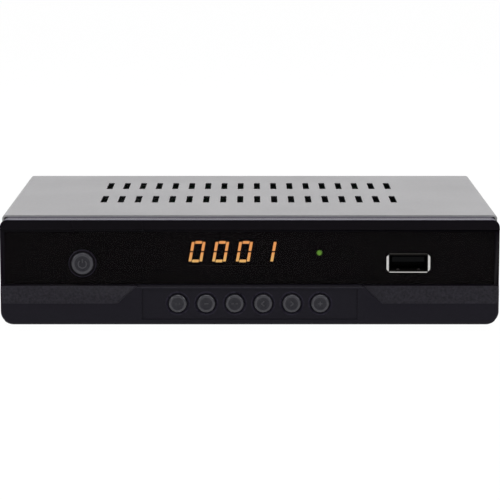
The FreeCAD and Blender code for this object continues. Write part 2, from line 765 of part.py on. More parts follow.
def make_front_window():
    """Smoked acrylic strip with openings for the power button's collar and the front socket."""
    body = doc.addObject("PartDesign::Body", "front_window")
    half = bezel_half - d.window_side - d.window_gap
    levels = (
        front_base + d.ledge_height + d.window_gap,
        front_base + window_top - d.window_gap,
    )
    pad(body, "Y", window_face, window_back, rectangle((-half, half), levels))
    pocket(body, "Y", window_face, window_back, (power_x, power_z, d.power_ring + d.window_gap))
    across = (usb_x - usb_hole_half, usb_x + usb_hole_half)
    pocket(
        body, "Y", window_face, window_back,
        rectangle(across, (usb_z - usb_hole_high, usb_z + usb_hole_high)),
    )
    name_node("front_window", body)


def make_top_cover():
    """Folded steel cover: roof and both sides from one sheet, with a rear flange and two vent rows."""
    body = doc.addObject("PartDesign::Body", "top_cover")
    under = cover_top - d.cover_sheet
    inner = cover_half - d.cover_sheet
    back = rear + d.cover_sheet
    section = [
        (-cover_half, d.foot_height),
        (-inner, d.foot_height),
        (-inner, under),
        (inner, under),
        (inner, d.foot_height),
        (cover_half, d.foot_height),
        (cover_half, cover_top),
        (-cover_half, cover_top),
    ]
    pad(body, "Y", case_front, back, section)
    for radius, level in ((d.cover_bend, cover_top), (d.cover_bend - d.cover_sheet, under)):
        soften(body, "Fillet", radius, lambda edge: runs_along(edge, "Y") and flat_at(edge, "Z", level))
    pad(body, "Y", rear, back, rectangle((-inner, inner), (cover_top - d.cover_flange, under)))
    vent_x = d.vent_x - d.vent_pitch * (d.vent_count - 1) / 2
    for station in (d.vent_front_row, d.vent_rear_row):
        middle = front + station
        slot = rectangle(
            (vent_x - d.vent_width / 2, vent_x + d.vent_width / 2),
            (middle - d.vent_length / 2, middle + d.vent_length / 2),
        )
        first = pocket(body, "Z", under, cover_top, slot)
        row(body, first, d.vent_count, d.vent_pitch)
    holes = [(x, cover_screw_z, cover_screw_hole) for x in cover_screw_places]
    pocket(body, "Y", rear, back, *holes)
    name_node("top_cover", body)


def make_tray():
    """Steel tray: floor, side flanges and rear wall, with standoffs and the sockets' openings."""
    body = doc.addObject("PartDesign::Body", "chassis_tray")
    start = case_front
    flange_start = case_front + d.lip_length + d.fit_gap
    wall_top = cover_top - d.cover_sheet - d.tray_gap
    across = (-tray_half, tray_half)
    pad(body, "Z", d.foot_height, tray_floor, rectangle(across, (start, rear)))
    pad(body, "Y", inner_rear, rear, rectangle(across, (d.foot_height, wall_top)))
    flange_top = d.foot_height + d.tray_flange
    for low, high in ((-tray_half, d.tray_sheet - tray_half), (tray_half - d.tray_sheet, tray_half)):
        pad(body, "X", low, high, rectangle((flange_start, rear), (d.foot_height, flange_top)))

    for x in (-standoff_x, standoff_x):
        for station in (d.standoff_front, d.standoff_rear):
            spot = (x, front + station)
            pad(body, "Z", tray_floor, board_base, (*spot, d.standoff_radius))
            pocket(body, "Z", d.foot_height, board_base, (*spot, screw_pilot))

    holes = [(x, tab_screw_y, screw_hole) for x in tab_places]
    pocket(body, "Z", d.foot_height, tray_floor, *holes)

    middle = front + d.floor_vent_row
    slot_x = -(d.floor_vent_pitch * (d.floor_vent_count - 1)) / 2
    slot = rectangle(
        (slot_x - d.floor_vent_width / 2, slot_x + d.floor_vent_width / 2),
        (middle - d.floor_vent_length / 2, middle + d.floor_vent_length / 2),
    )
    first = pocket(body, "Z", d.foot_height, tray_floor, slot)
    row(body, first, d.floor_vent_count, d.floor_vent_pitch)

    round_holes = [(x, stud_z, d.stud_base_radius + d.socket_gap) for x in stud_places.values()]
    round_holes.append((audio_x, audio_z, audio_core + d.socket_gap))
    round_holes += [(x, cover_screw_z, cover_screw_pilot) for x in cover_screw_places]
    windows = []
    for x, half, low, high in (
        (hdmi_x, hdmi_half, hdmi_z - hdmi_high, hdmi_z + hdmi_high),
        (scart_x, d.scart_width / 2, board_top, board_top + d.scart_height),
        (supply_x, d.supply_width / 2, board_top, board_top + d.supply_height),
    ):
        reach = half + d.socket_gap
        windows.append(rectangle((x - reach, x + reach), (low - d.socket_gap, high + d.socket_gap)))
    pocket(body, "Y", inner_rear, rear, *round_holes, *windows)
    name_node("chassis_tray", body)


def make_feet():
    """Four rubber feet with a shallow dish in the sole."""
    taper = 0.6
    dish_depth = 0.7
    for side, sign in SIDES.items():
        for end, station in (("front", d.foot_front), ("rear", d.foot_rear)):
            profile = [
                (0, dish_depth),
                (d.foot_radius / 2, dish_depth),
                (d.foot_radius / 2, 0),
                (d.foot_radius - taper, 0),
                (d.foot_radius, d.foot_height),
                (0, d.foot_height),
            ]
            name = f"foot_{end}_{side}"
            name_node(name, turned(name, profile, sign * foot_x, front + station, 0, "Z"))


def make_button(name, x, z, radius, face, wall_back):
    """A cap with its retaining flange and stem, the switch behind it and the switch's plunger."""
    flange = wall_back + d.fit_gap
    flange_back = flange + d.cap_flange_sheet
    wide = radius + d.cap_flange
    profile = [
        (0, 0),
        (radius, 0),
        (radius, flange - face),
        (wide, flange - face),
        (wide, flange_back - face),
        (d.stem_radius, flange_back - face),
        (d.stem_radius, plunger_front - face),
        (0, plunger_front - face),
    ]
    cap = turned(f"{name}_button", profile, x, face, z, "Y")
    soften(cap, "Fillet", d.front_edge_round / 2, lambda edge: flat_at(edge, "Z", 0))
    name_node(f"{name}_button", cap)

    seat_end = switch_front + d.plunger_seat
    plunger = rod(f"{name}_plunger", d.plunger_radius, "Y", plunger_front, seat_end, (x, z))
    name_node(f"{name}_plunger", plunger)

    side = d.switch_side / 2
    case = block(f"{name}_case", (x - side, x + side), (switch_front, front_board), (z - side, z + side))
    well_end = seat_end + d.travel + d.fit_gap
    well = rod(f"{name}_well", d.plunger_radius + d.button_gap, "Y", switch_front, well_end, (x, z))
    name_node(f"{name}_switch", cut(f"{name}_switch", case, well))


def make_buttons():
    """The power button and the row of like buttons below the window."""
    make_button(
        "power", power_x, power_z, d.power_radius,
        window_face - d.power_proud, seat_back,
    )
    panel_back = front + d.panel_recess + d.mould_wall
    for number, x in enumerate(button_places, start=1):
        make_button(f"panel_{number}", x, button_z, d.button_radius, front - d.cap_proud, panel_back)


def make_front_board():
    """Upright board behind the front, held on the front's bosses."""
    board = block(
        "front_board_blank",
        (-front_board_half, front_board_half),
        (front_board, front_board_back),
        (front_base + d.front_board_base, front_top - d.front_board_top),
    )
    holes = []
    for x in (-boss_x, boss_x):
        for z in boss_levels:
            name = f"front_board_hole_{len(holes) + 1}"
            spot = (x, front_base + z)
            holes.append(rod(name, screw_hole, "Y", front_board, front_board_back, spot))
    name_node("front_board", cut("front_board", board, *holes))


def digit_bar(corners, left, base, slant):
    """One bar of a digit: a slanted flat quadrilateral, extruded backwards."""
    face_y = display_face.value
    sheet_y = d.segment_sheet.value
    lean = math.tan(math.radians(slant))
    spots = [Vector(left + u + v * lean, face_y - sheet_y, base + v) for u, v in corners]
    wire = Part.makePolygon(spots + spots[:1])
    return Part.Face(wire).extrude(Vector(0, sheet_y, 0))


def digit_bars():
    """Corners of the seven bars, lettered clockwise from the top with g in the middle."""
    wide, high = d.digit_width.value, d.digit_height.value
    bar, gap = d.segment_width.value, d.segment_gap.value
    middle = high / 2
    left, right = (0, bar), (wide - bar, wide)
    lower, upper = (gap, middle - gap / 2), (middle + gap / 2, high - gap)
    across = (bar + gap, wide - bar - gap)
    return {
        "a": (across, (high - bar, high)),
        "b": (right, upper),
        "c": (right, lower),
        "d": (across, (0, bar)),
        "e": (left, lower),
        "f": (left, upper),
        "g": (across, (middle - bar / 2, middle + bar / 2)),
    }


LIT_BARS = {"0": "abcdef", "1": "bc"}
SHOWN_NUMBER = "0001"


def make_display():
    """Four-digit display module; its lit and dark bars are thin solids on the module's face."""
    half_width, half_height = d.display_width / 2, d.display_height / 2
    module = block(
        "display_module",
        (d.display_x - half_width, d.display_x + half_width),
        (display_face, front_board),
        (display_z - half_height, display_z + half_height),
    )
    name_node("display_module", module)
    bars = {"display_lit_bars": [], "display_dark_bars": []}
    slant = d.digit_slant.value
    lean = math.tan(math.radians(slant)) * d.digit_height.value
    base = display_z.value - d.digit_height.value / 2
    for place, shown in enumerate(SHOWN_NUMBER):
        middle = d.display_x + d.digit_pitch * (place - (len(SHOWN_NUMBER) - 1) / 2)
        left = middle.value - (d.digit_width.value + lean) / 2
        for letter, (across, levels) in digit_bars().items():
            corners = [
                (across[0], levels[0]), (across[1], levels[0]),
                (across[1], levels[1]), (across[0], levels[1]),
            ]
            kind = "display_lit_bars" if letter in LIT_BARS[shown] else "display_dark_bars"
            bars[kind].append(digit_bar(corners, left, base, slant))
    for name, solids in bars.items():
        feature = doc.addObject("Part::Feature", name)
        feature.Shape = Part.makeCompound(solids)
        name_node(name, feature)


def make_lamp_and_eye():
    """Status lamp and remote control receiver, both on the front board behind the window."""
    tip = seat_front + d.window_gap
    shoulder = seat_back + d.fit_gap
    profile = [
        (0, 0),
        (d.lamp_radius, 0),
        (d.lamp_radius, shoulder - tip),
        (d.lamp_flange, shoulder - tip),
        (d.lamp_flange, front_board - tip),
        (0, front_board - tip),
    ]
    lamp = turned("status_lamp", profile, d.lamp_x, tip, lamp_z, "Y")
    soften(lamp, "Fillet", d.lamp_radius / 2, lambda edge: flat_at(edge, "Z", 0))
    name_node("status_lamp", lamp)
    case = block(
        "eye_case",
        (d.eye_x - d.eye_case, d.eye_x + d.eye_case),
        (shoulder, front_board),
        (lamp_z - d.eye_case, lamp_z + d.eye_case),
    )
    lens = rod("eye_lens", d.eye_radius, "Y", tip, shoulder, (d.eye_x, lamp_z))
    name_node("remote_receiver", join("remote_receiver", case, lens))


def make_usb():
    """Front socket: a folded metal shell with a flared lip, its tongue and four contacts."""
    half, high = d.usb_width / 2, d.usb_height / 2
    lip_half, lip_high = half + d.usb_lip, high + d.usb_lip_high
    lip_front = window_face - d.usb_lip_sheet
    body = doc.addObject("PartDesign::Body", "usb_shell")
    opening = rectangle((usb_x - half, usb_x + half), (usb_z - high, usb_z + high))
    tube = rectangle(
        (usb_x - half - d.usb_sheet, usb_x + half + d.usb_sheet),
        (usb_z - high - d.usb_sheet, usb_z + high + d.usb_sheet),
    )
    corner = d.usb_lip
    lip = [
        (usb_x - lip_half + corner, usb_z - lip_high),
        (usb_x + lip_half - corner, usb_z - lip_high),
        (usb_x + lip_half, usb_z - lip_high + corner),
        (usb_x + lip_half, usb_z + lip_high - corner),
        (usb_x + lip_half - corner, usb_z + lip_high),
        (usb_x - lip_half + corner, usb_z + lip_high),
        (usb_x - lip_half, usb_z + lip_high - corner),
        (usb_x - lip_half, usb_z - lip_high + corner),
    ]
    pad(body, "Y", window_face, front_board, tube, opening)
    pad(body, "Y", lip_front, window_face, lip, opening)
    name_node("usb_shell", body)

    tongue_top = usb_z + high - d.tongue_gap
    tongue_base = tongue_top - d.tongue_height
    tongue_front = lip_front + d.tongue_setback
    across = (usb_x - d.tongue_width / 2, usb_x + d.tongue_width / 2)
    tongue = block("usb_tongue_bar", across, (tongue_front, front_board), (tongue_base, tongue_top))
    root = block(
        "usb_tongue_root",
        (usb_x - half, usb_x + half),
        (front_board - d.mould_wall, front_board),
        (usb_z - high, usb_z + high),
    )
    name_node("usb_tongue", join("usb_tongue", tongue, root))

    strips = []
    contact_half = d.contact_width / 2
    offsets = (-d.contact_outer_x, -d.contact_inner_x, d.contact_inner_x, d.contact_outer_x)
    for number, offset in enumerate(offsets, start=1):
        x = usb_x + offset
        strips.append(
            block(
                f"usb_contact_{number}",
                (x - contact_half, x + contact_half),
                (tongue_front + d.contact_width, front_board - d.mould_wall),
                (tongue_base - d.contact_sheet, tongue_base),
            )
        )
    name_node("usb_contacts", group("usb_contacts", strips))


def make_main_board():
    """Main board on the tray's standoffs."""
    board_front = front + d.main_board_front
    board_back = inner_rear - d.main_board_back_gap
    board = block(
        "main_board_blank",
        (-main_board_half, main_board_half),
        (board_front, board_back),
        (board_base, board_top),
    )
    holes = []
    for x in (-standoff_x, standoff_x):
        for station in (d.standoff_front, d.standoff_rear):
            name = f"main_board_hole_{len(holes) + 1}"
            spot = (x, front + station)
            holes.append(rod(name, screw_hole, "Z", board_base, board_top, spot))
    name_node("main_board", cut("main_board", board, *holes))


def make_tuner():
    """Tin tuner can with the two dish cable studs, their insulators and nuts."""
    can_back = inner_rear - d.main_board_back_gap
    can_front = can_back - d.can_depth
    across = (can_x - d.can_width / 2, can_x + d.can_width / 2)
    outer = block("can_outer", across, (can_front, can_back), (board_top, board_top + d.can_height))
    inner = block(
        "can_inner",
        (across[0] + d.can_sheet, across[1] - d.can_sheet),
        (can_front + d.can_sheet, can_back - d.can_sheet),
        (board_top - OVERSHOOT, board_top + d.can_height - d.can_sheet),
    )
    name_node("tuner_can", cut("tuner_can", outer, inner))

    mouth = rear + d.stud_reach
    base_end = rear + d.nut_sheet + d.fit_gap
    cores, nuts = [], []
    for name, x in stud_places.items():
        bore_start = mouth - can_back - d.stud_bore_depth
        profile = [
            (0, 0),
            (d.stud_base_radius, 0),
            (d.stud_base_radius, base_end - can_back),
            (d.stud_radius, base_end - can_back),
            (d.stud_radius, mouth - can_back),
            (d.stud_bore, mouth - can_back),
            (d.stud_bore, bore_start),
            (0, bore_start),
        ]
        stud = turned(f"{name}_stud", profile, x, can_back, stud_z, "Y")
        name_node(f"{name}_stud", stud)
        core = rod(
            f"{name}_core", d.stud_bore - d.pilot_gap, "Y",
            can_back + bore_start, mouth - d.fit_gap, (x, stud_z),
        )
        hole = rod(
            f"{name}_core_hole", d.contact_hole, "Y",
            can_back + bore_start + OVERSHOOT, mouth, (x, stud_z),
        )
        cores.append(cut(f"{name}_insulator", core, hole))
        hexagon = doc.addObject("Part::Prism", f"{name}_hexagon")
        hexagon.Polygon = 6
        bind(hexagon, "Circumradius", d.nut_flats / 2 / math.cos(math.radians(HALF_HEX_ANGLE)))
        bind(hexagon, "Height", d.nut_sheet)
        put(hexagon, x, rear, stud_z, TURNS["Y"])
        bore = rod(
            f"{name}_nut_bore", d.stud_base_radius + d.pilot_gap, "Y",
            rear - OVERSHOOT, rear + d.nut_sheet + OVERSHOOT, (x, stud_z),
        )
        nuts.append(cut(f"{name}_nut", hexagon, bore))
    name_node("stud_insulators", group("stud_insulators", cores))
    name_node("stud_nuts", group("stud_nuts", nuts))


def make_hdmi():
    """Digital video socket: a D-shaped metal shell and its tongue."""
    body = doc.addObject("PartDesign::Body", "hdmi_shell")
    mouth = rear + d.hdmi_proud
    root = mouth - d.hdmi_depth

    def outline(grow):
        half = d.hdmi_width / 2 + grow
        high = d.hdmi_height / 2 + grow
        slant = d.hdmi_slant
        return [
            (hdmi_x - half + slant, hdmi_z - high),
            (hdmi_x + half - slant, hdmi_z - high),
            (hdmi_x + half, hdmi_z - high + slant),
            (hdmi_x + half, hdmi_z + high),
            (hdmi_x - half, hdmi_z + high),
            (hdmi_x - half, hdmi_z - high + slant),
        ]

    pad(body, "Y", root, mouth, outline(d.hdmi_sheet))
    pocket(body, "Y", root + d.hdmi_sheet, mouth, outline(as_size(0)))
    shell_base = hdmi_z - d.hdmi_height / 2 - d.hdmi_sheet
    across = (hdmi_x - d.hdmi_width / 2, hdmi_x + d.hdmi_width / 2)
    foot = rectangle(across, (board_top, shell_base + d.hdmi_sheet))
    pad(body, "Y", root, root + d.hdmi_foot, foot)
    name_node("hdmi_shell", body)
    half = d.hdmi_tongue_width / 2
    high = d.hdmi_tongue_height / 2
    tongue = block(
        "hdmi_tongue",
        (hdmi_x - half, hdmi_x + half),
        (root + d.hdmi_sheet, mouth - d.tongue_setback),
        (hdmi_z - high, hdmi_z + high),
    )
    name_node("hdmi_tongue", tongue)


def make_scart():
    """Wide socket: block with a groove for the plug's shield and two rows of contact slots."""
    body = doc.addObject("PartDesign::Body", "scart_socket")
    mouth = rear + d.scart_proud
    half, high = d.scart_width / 2, d.scart_height / 2
    levels = (scart_z - high, scart_z + high)
    pad(body, "Y", rear - d.scart_depth, mouth, rectangle((scart_x - half, scart_x + half), levels))

    def ring(shrink, corner):
        reach, rise = half - shrink, high - shrink
        return [
            (scart_x - reach + corner, scart_z - rise),
            (scart_x + reach, scart_z - rise),
            (scart_x + reach, scart_z + rise),
            (scart_x - reach, scart_z + rise),
            (scart_x - reach, scart_z - rise + corner),
        ]

    pocket(
        body, "Y", mouth - d.scart_groove_depth, mouth,
        ring(d.scart_rim, d.scart_corner),
        ring(d.scart_rim + d.scart_groove, d.scart_corner - d.scart_groove),
    )
    span = d.scart_slot_pitch * (d.scart_slot_count - 1)
    for level, shift in ((d.scart_row, 0), (-d.scart_row, d.scart_slot_width)):
        first_x = scart_x - span / 2 + shift
        slot = rectangle(
            (first_x - d.scart_slot_width / 2, first_x + d.scart_slot_width / 2),
            (scart_z + level - d.scart_slot_height / 2, scart_z + level + d.scart_slot_height / 2),
        )
        first = pocket(body, "Y", mouth - d.scart_slot_depth, mouth, slot)
        row(body, first, d.scart_slot_count, d.scart_slot_pitch)
    name_node("scart_socket", body)


def make_audio():
    """Round digital audio socket: moulded block with a core, and the metal ring round the core."""
    body = doc.addObject("PartDesign::Body", "audio_socket")
    half = d.audio_width / 2
    outline = rectangle(
        (audio_x - half, audio_x + half),
        (board_top, board_top + d.audio_height),
    )
    pad(body, "Y", inner_rear - d.audio_depth, inner_rear, outline)
    core_end = rear + d.audio_reach - d.audio_core_setback
    pad(body, "Y", inner_rear, core_end, (audio_x, audio_z, audio_core))
    pocket(body, "Y", core_end - d.audio_hole_depth, core_end, (audio_x, audio_z, d.audio_hole))
    name_node("audio_socket", body)
    ring_end = rear + d.audio_reach
    tube = rod("audio_tube", d.audio_ring, "Y", rear, ring_end, (audio_x, audio_z))
    bore = rod("audio_bore", audio_core + d.pilot_gap, "Y", rear, ring_end, (audio_x, audio_z))
    name_node("audio_ring", cut("audio_ring", tube, bore))


def make_supply():
    """Low-voltage supply socket and its centre pin."""
    mouth = rear + d.supply_proud
    half = d.supply_width / 2
    case = block(
        "supply_case",
        (supply_x - half, supply_x + half),
        (mouth - d.supply_depth, mouth),
        (board_top, board_top + d.supply_height),
    )
    bore_start = mouth - d.supply_bore_depth
    centre = (supply_x, supply_z)
    bore = rod("supply_bore", d.supply_bore, "Y", bore_start, mouth, centre)
    name_node("supply_socket", cut("supply_socket", case, bore))
    pin_end = mouth - d.supply_pin_setback
    name_node("supply_pin", rod("supply_pin", d.supply_pin, "Y", bore_start, pin_end, centre))


def make_chips():
    """Main chip, its finned heat sink and the memory chip beside it."""
    y = front + d.chip_setback
    half = d.chip_side / 2
    chip_top = board_top + d.chip_height
    across = (d.chip_x - half, d.chip_x + half)
    chip = block("main_chip", across, (y - half, y + half), (board_top, chip_top))
    name_node("main_chip", chip)
    sink = doc.addObject("PartDesign::Body", "heat_sink")
    reach = d.sink_side / 2
    plate = rectangle((d.chip_x - reach, d.chip_x + reach), (chip_top, chip_top + d.sink_height))
    pad(sink, "Y", y - reach, y + reach, plate)
    pitch = (d.sink_side - d.fin_sheet) / (d.fin_count - 1)
    gap_x = d.chip_x - reach + d.fin_sheet
    gap = rectangle(
        (gap_x, gap_x + pitch - d.fin_sheet),
        (chip_top + d.sink_base, chip_top + d.sink_height),
    )
    first = pocket(sink, "Y", y - reach, y + reach, gap)
    row(sink, first, d.fin_count - 1, pitch)
    name_node("heat_sink", sink)
    half_x, half_y = d.memory_width / 2, d.memory_depth / 2
    memory = block(
        "memory_chip",
        (memory_x - half_x, memory_x + half_x),
        (y - half_y, y + half_y),
        (board_top, board_top + d.memory_height),
    )
    name_node("memory_chip", memory)


def make_power_parts():
    """Electrolytic capacitors and power coils beside the supply socket."""
    cans = []
    can_top = board_top + d.capacitor_height
    for number in range(round(d.capacitor_count.value)):
        line, column = divmod(number, 2)
        x = capacitor_x + d.capacitor_pitch * column
        y = front + d.capacitor_setback + d.capacitor_pitch * line
        name = f"capacitor_{number + 1}"
        cans.append(rod(name, d.capacitor_radius, "Z", board_top, can_top, (x, y)))
    name_node("capacitors", group("capacitors", cans))
    coils = []
    half = d.coil_side / 2
    y = front + d.coil_setback
    coil_levels = (board_top, board_top + d.coil_height)
    for number in range(2):
        x = capacitor_x + d.capacitor_pitch * number
        name = f"coil_{number + 1}"
        coils.append(block(name, (x - half, x + half), (y - half, y + half), coil_levels))
    name_node("power_coils", group("power_coils", coils))


def make_ribbon():
    """Flat cable from the front board down to the main board, with a socket at each end."""
    level = d.foot_height + d.ribbon_rise
    fall = front + d.ribbon_setback
    sheet_half = d.ribbon_sheet / 2
    socket_half = d.ribbon_socket_width / 2
    socket_back = front_board_back + d.ribbon_socket_depth
    socket_top = board_top + d.ribbon_socket_height
    across = (d.ribbon_x - socket_half, d.ribbon_x + socket_half)
    high = d.ribbon_socket_height / 2
    upper_levels = (level - high, level + high)
    upper = block("ribbon_socket_upper", across, (front_board_back, socket_back), upper_levels)
    deep = d.ribbon_socket_depth / 2
    lower = block("ribbon_socket_lower", across, (fall - deep, fall + deep), (board_top, socket_top))
    name_node("ribbon_sockets", group("ribbon_sockets", [upper, lower]))
    body = doc.addObject("PartDesign::Body", "ribbon_cable")
    path = [
        (socket_back, level - sheet_half),
        (fall - sheet_half, level - sheet_half),
        (fall - sheet_half, socket_top),
        (fall + sheet_half, socket_top),
        (fall + sheet_half, level + sheet_half),
        (socket_back, level + sheet_half),
    ]
    half = d.ribbon_width / 2
    pad(body, "X", d.ribbon_x - half, d.ribbon_x + half, path)
    bends = (
        (d.ribbon_bend, fall + sheet_half, level + sheet_half),
        (d.ribbon_bend - d.ribbon_sheet, fall - sheet_half, level - sheet_half),
    )
    for radius, y, z in bends:
        soften(
            body, "Fillet", radius,
            lambda edge: runs_along(edge, "X") and flat_at(edge, "Y", y) and flat_at(edge, "Z", z),
        )
    name_node("ribbon_cable", body)


def screw(name, axis, sign, seat, across, radius, length, head, head_height):
    """A screw whose head bears on a seat; sign says which way along the axis its shaft points."""
    spans = (seat, seat + length), (seat - head_height, seat)
    if sign < 0:
        spans = (seat - length, seat), (seat, seat + head_height)
    shaft = rod(f"{name}_shaft", radius, axis, *spans[0], across)
    top = rod(f"{name}_head", head, axis, *spans[1], across)
    return join(name, shaft, top)


def make_screws():
    """Screws that hold the boards and the front, and those that hold the cover."""
    small = (d.screw_radius, d.screw_length, d.screw_head, d.screw_head_height)
    inner = []
    for x in (-boss_x, boss_x):
        for z in boss_levels:
            across = (x, front_base + z)
            inner.append(screw(f"small_screw_{len(inner)}", "Y", -1, front_board_back, across, *small))
    for x in (-standoff_x, standoff_x):
        for station in (d.standoff_front, d.standoff_rear):
            across = (x, front + station)
            inner.append(screw(f"small_screw_{len(inner)}", "Z", -1, board_top, across, *small))
    for x in tab_places:
        across = (x, tab_screw_y)
        inner.append(screw(f"small_screw_{len(inner)}", "Z", 1, d.foot_height, across, *small))
    name_node("small_screws", group("small_screws", inner))
    large = (d.cover_screw_radius, d.cover_screw_length, d.cover_screw_head, d.cover_screw_head_height)
    outer = [
        screw(f"cover_screw_{number}", "Y", -1, rear + d.cover_sheet, (x, cover_screw_z), *large)
        for number, x in enumerate(cover_screw_places, start=1)
    ]
    name_node("cover_screws", group("cover_screws", outer))


def check_and_write():
    """Stop on any failed object or unsound solid, then write one file for each node."""
    doc.recompute()
    for thing in doc.Objects:
        if "Invalid" in thing.State or "Error" in thing.State:
            raise ValueError(f"{thing.Name} is {thing.State}")
    for name, thing in nodes.items():
        shape = thing.Shape
        if shape.isNull() or not shape.isValid() or not shape.Solids:
            raise ValueError(f"{name} has no sound solid")
    os.makedirs("parts", exist_ok=True)
    for name, thing in nodes.items():
        thing.Shape.exportStep(f"parts/{name}.step")


for make in (
    make_front_bezel,
    make_front_window,
    make_top_cover,
    make_tray,
    make_feet,
    make_buttons,
    make_front_board,
    make_display,
    make_lamp_and_eye,
    make_usb,
    make_main_board,
    make_tuner,
    make_hdmi,
    make_scart,
    make_audio,
    make_supply,
    make_chips,
    make_power_parts,
    make_ribbon,
    make_screws,
):
    make()
check_and_write()
print(len(nodes), "nodes written")
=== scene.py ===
import math

import bpy
from bpy.props import FloatProperty, FloatVectorProperty, IntProperty, PointerProperty
from bpy.types import Operator, Panel, PropertyGroup
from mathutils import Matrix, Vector


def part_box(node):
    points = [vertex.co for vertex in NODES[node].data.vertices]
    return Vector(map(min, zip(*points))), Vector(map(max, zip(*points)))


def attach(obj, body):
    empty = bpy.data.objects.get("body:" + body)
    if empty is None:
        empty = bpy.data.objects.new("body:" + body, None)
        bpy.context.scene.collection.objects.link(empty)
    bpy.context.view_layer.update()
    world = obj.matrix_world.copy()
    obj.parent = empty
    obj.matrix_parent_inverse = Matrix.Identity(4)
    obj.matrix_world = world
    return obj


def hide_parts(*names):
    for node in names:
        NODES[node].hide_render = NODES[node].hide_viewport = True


bl_info = {
    "name": "Satellite television receiver",
    "version": (1, 0, 0),
    "blender": (4, 5, 0),
    "location": "3D View > Sidebar > Receiver",
    "description": "Dresses a receiver's solids with mouldings, sheet metal, buttons and display",
    "category": "Add Mesh",
}

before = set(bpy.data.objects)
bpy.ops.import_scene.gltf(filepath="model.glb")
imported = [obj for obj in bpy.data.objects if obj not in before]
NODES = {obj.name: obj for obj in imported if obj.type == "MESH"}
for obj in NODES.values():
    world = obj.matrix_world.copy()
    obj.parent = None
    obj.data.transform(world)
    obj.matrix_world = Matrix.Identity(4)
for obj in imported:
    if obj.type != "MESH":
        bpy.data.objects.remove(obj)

# Every size below is in millimetres unless it says otherwise.
MM = 0.001
# Room by which a cutting tool passes the surface it cuts.
PAST = 1.0
SPECULAR = "Specular IOR Level"


def millimetres(node):
    """Lowest and highest corner of a CAD node, in millimetres."""
    low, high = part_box(node)
    return low / MM, high / MM


def centre_of(node):
    """Middle of a CAD node seen from the front: x and z, in millimetres."""
    low, high = millimetres(node)
    return (low.x + high.x) / 2, (low.z + high.z) / 2


BEZEL_LOW, BEZEL_HIGH = millimetres("front_bezel")
WINDOW_LOW, WINDOW_HIGH = millimetres("front_window")
COVER_LOW, COVER_HIGH = millimetres("top_cover")
TRAY_HIGH = millimetres("chassis_tray")[1]


def linear(code):
    """An sRGB hex colour as linear RGBA."""
    values = [int(code[i : i + 2], 16) / 255 for i in (0, 2, 4)]
    steps = [v / 12.92 if v <= 0.04045 else ((v + 0.055) / 1.055) ** 2.4 for v in values]
    return (*steps, 1.0)


# Materials


def add_node(tree, kind, inputs=None, **settings):
    """One node with its socket values, its links given as (node, output), and its settings."""
    node = tree.nodes.new(kind)
    for name, value in settings.items():
        setattr(node, name, value)
    for name, value in (inputs or {}).items():
        if isinstance(value, tuple) and isinstance(value[0], bpy.types.Node):
            tree.links.new(value[0].outputs[value[1]], node.inputs[name])
        else:
            node.inputs[name].default_value = value
    return node


def blank_material(name):
    """A material with an empty node tree."""
    material = bpy.data.materials.new(name)
    material.use_nodes = True
    material.node_tree.nodes.clear()
    return material, material.node_tree


def set_ramp(ramp, *stops):
    """Places and colours a colour ramp's stops."""
    elements = ramp.color_ramp.elements
    while len(elements) < len(stops):
        elements.new(0.5)
    for element, (place, colour) in zip(elements, stops):
        element.position = place
        element.color = colour


def shaded(colour, factor):
    """A linear colour made lighter or darker."""
    return (*(min(1.0, c * factor) for c in colour[:3]), 1.0)


def surface(name, colour, grain, depth, rough, contrast=0.06, **sockets):
    """A Principled surface with its colour, roughness and relief driven by noise.

    grain is the noise's size and depth its relief, in millimetres, and rough the lowest and
    highest roughness."""
    material, tree = blank_material(name)
    coords = add_node(tree, "ShaderNodeTexCoord")
    noise = add_node(tree, "ShaderNodeTexNoise", {
        "Vector": (coords, "Object"), "Scale": 1 / (grain * MM), "Detail": 3.0, "Roughness": 0.6,
    })
    # Slow drift across the piece, a few centimetres long, as handling and moulding leave it.
    drift = add_node(tree, "ShaderNodeTexNoise", {
        "Vector": (coords, "Object"), "Scale": 1 / (35 * MM), "Detail": 2.0,
    })
    tint = add_node(tree, "ShaderNodeValToRGB", {"Fac": (noise, "Fac")})
    set_ramp(tint, (0.3, shaded(colour, 1 - contrast)), (0.7, shaded(colour, 1 + contrast)))
    gloss = add_node(tree, "ShaderNodeMapRange", {
        "Value": (drift, "Fac"), "From Min": 0.3, "From Max": 0.7,
        "To Min": rough[0], "To Max": rough[1],
    })
    relief = add_node(tree, "ShaderNodeBump", {
        "Height": (noise, "Fac"), "Strength": 0.6, "Distance": depth * MM,
    })
    shader = add_node(tree, "ShaderNodeBsdfPrincipled", {
        "Base Color": (tint, "Color"), "Roughness": (gloss, "Result"),
        "Normal": (relief, "Normal"), **sockets,
    })
    add_node(tree, "ShaderNodeOutputMaterial", {"Surface": (shader, "BSDF")})
    return material


def smoked_acrylic():
    """Smoked cast acrylic, flame-polished: almost black, so that only what glows shows through."""
    look = bpy.context.scene.receiver_looks
    return surface(
        "smoked_acrylic", tuple(look.window_colour), 25.0, 0.0006, (0.03, 0.06), contrast=0.1,
        Alpha=look.window_darkness, IOR=1.49, **{SPECULAR: 0.05},
    )


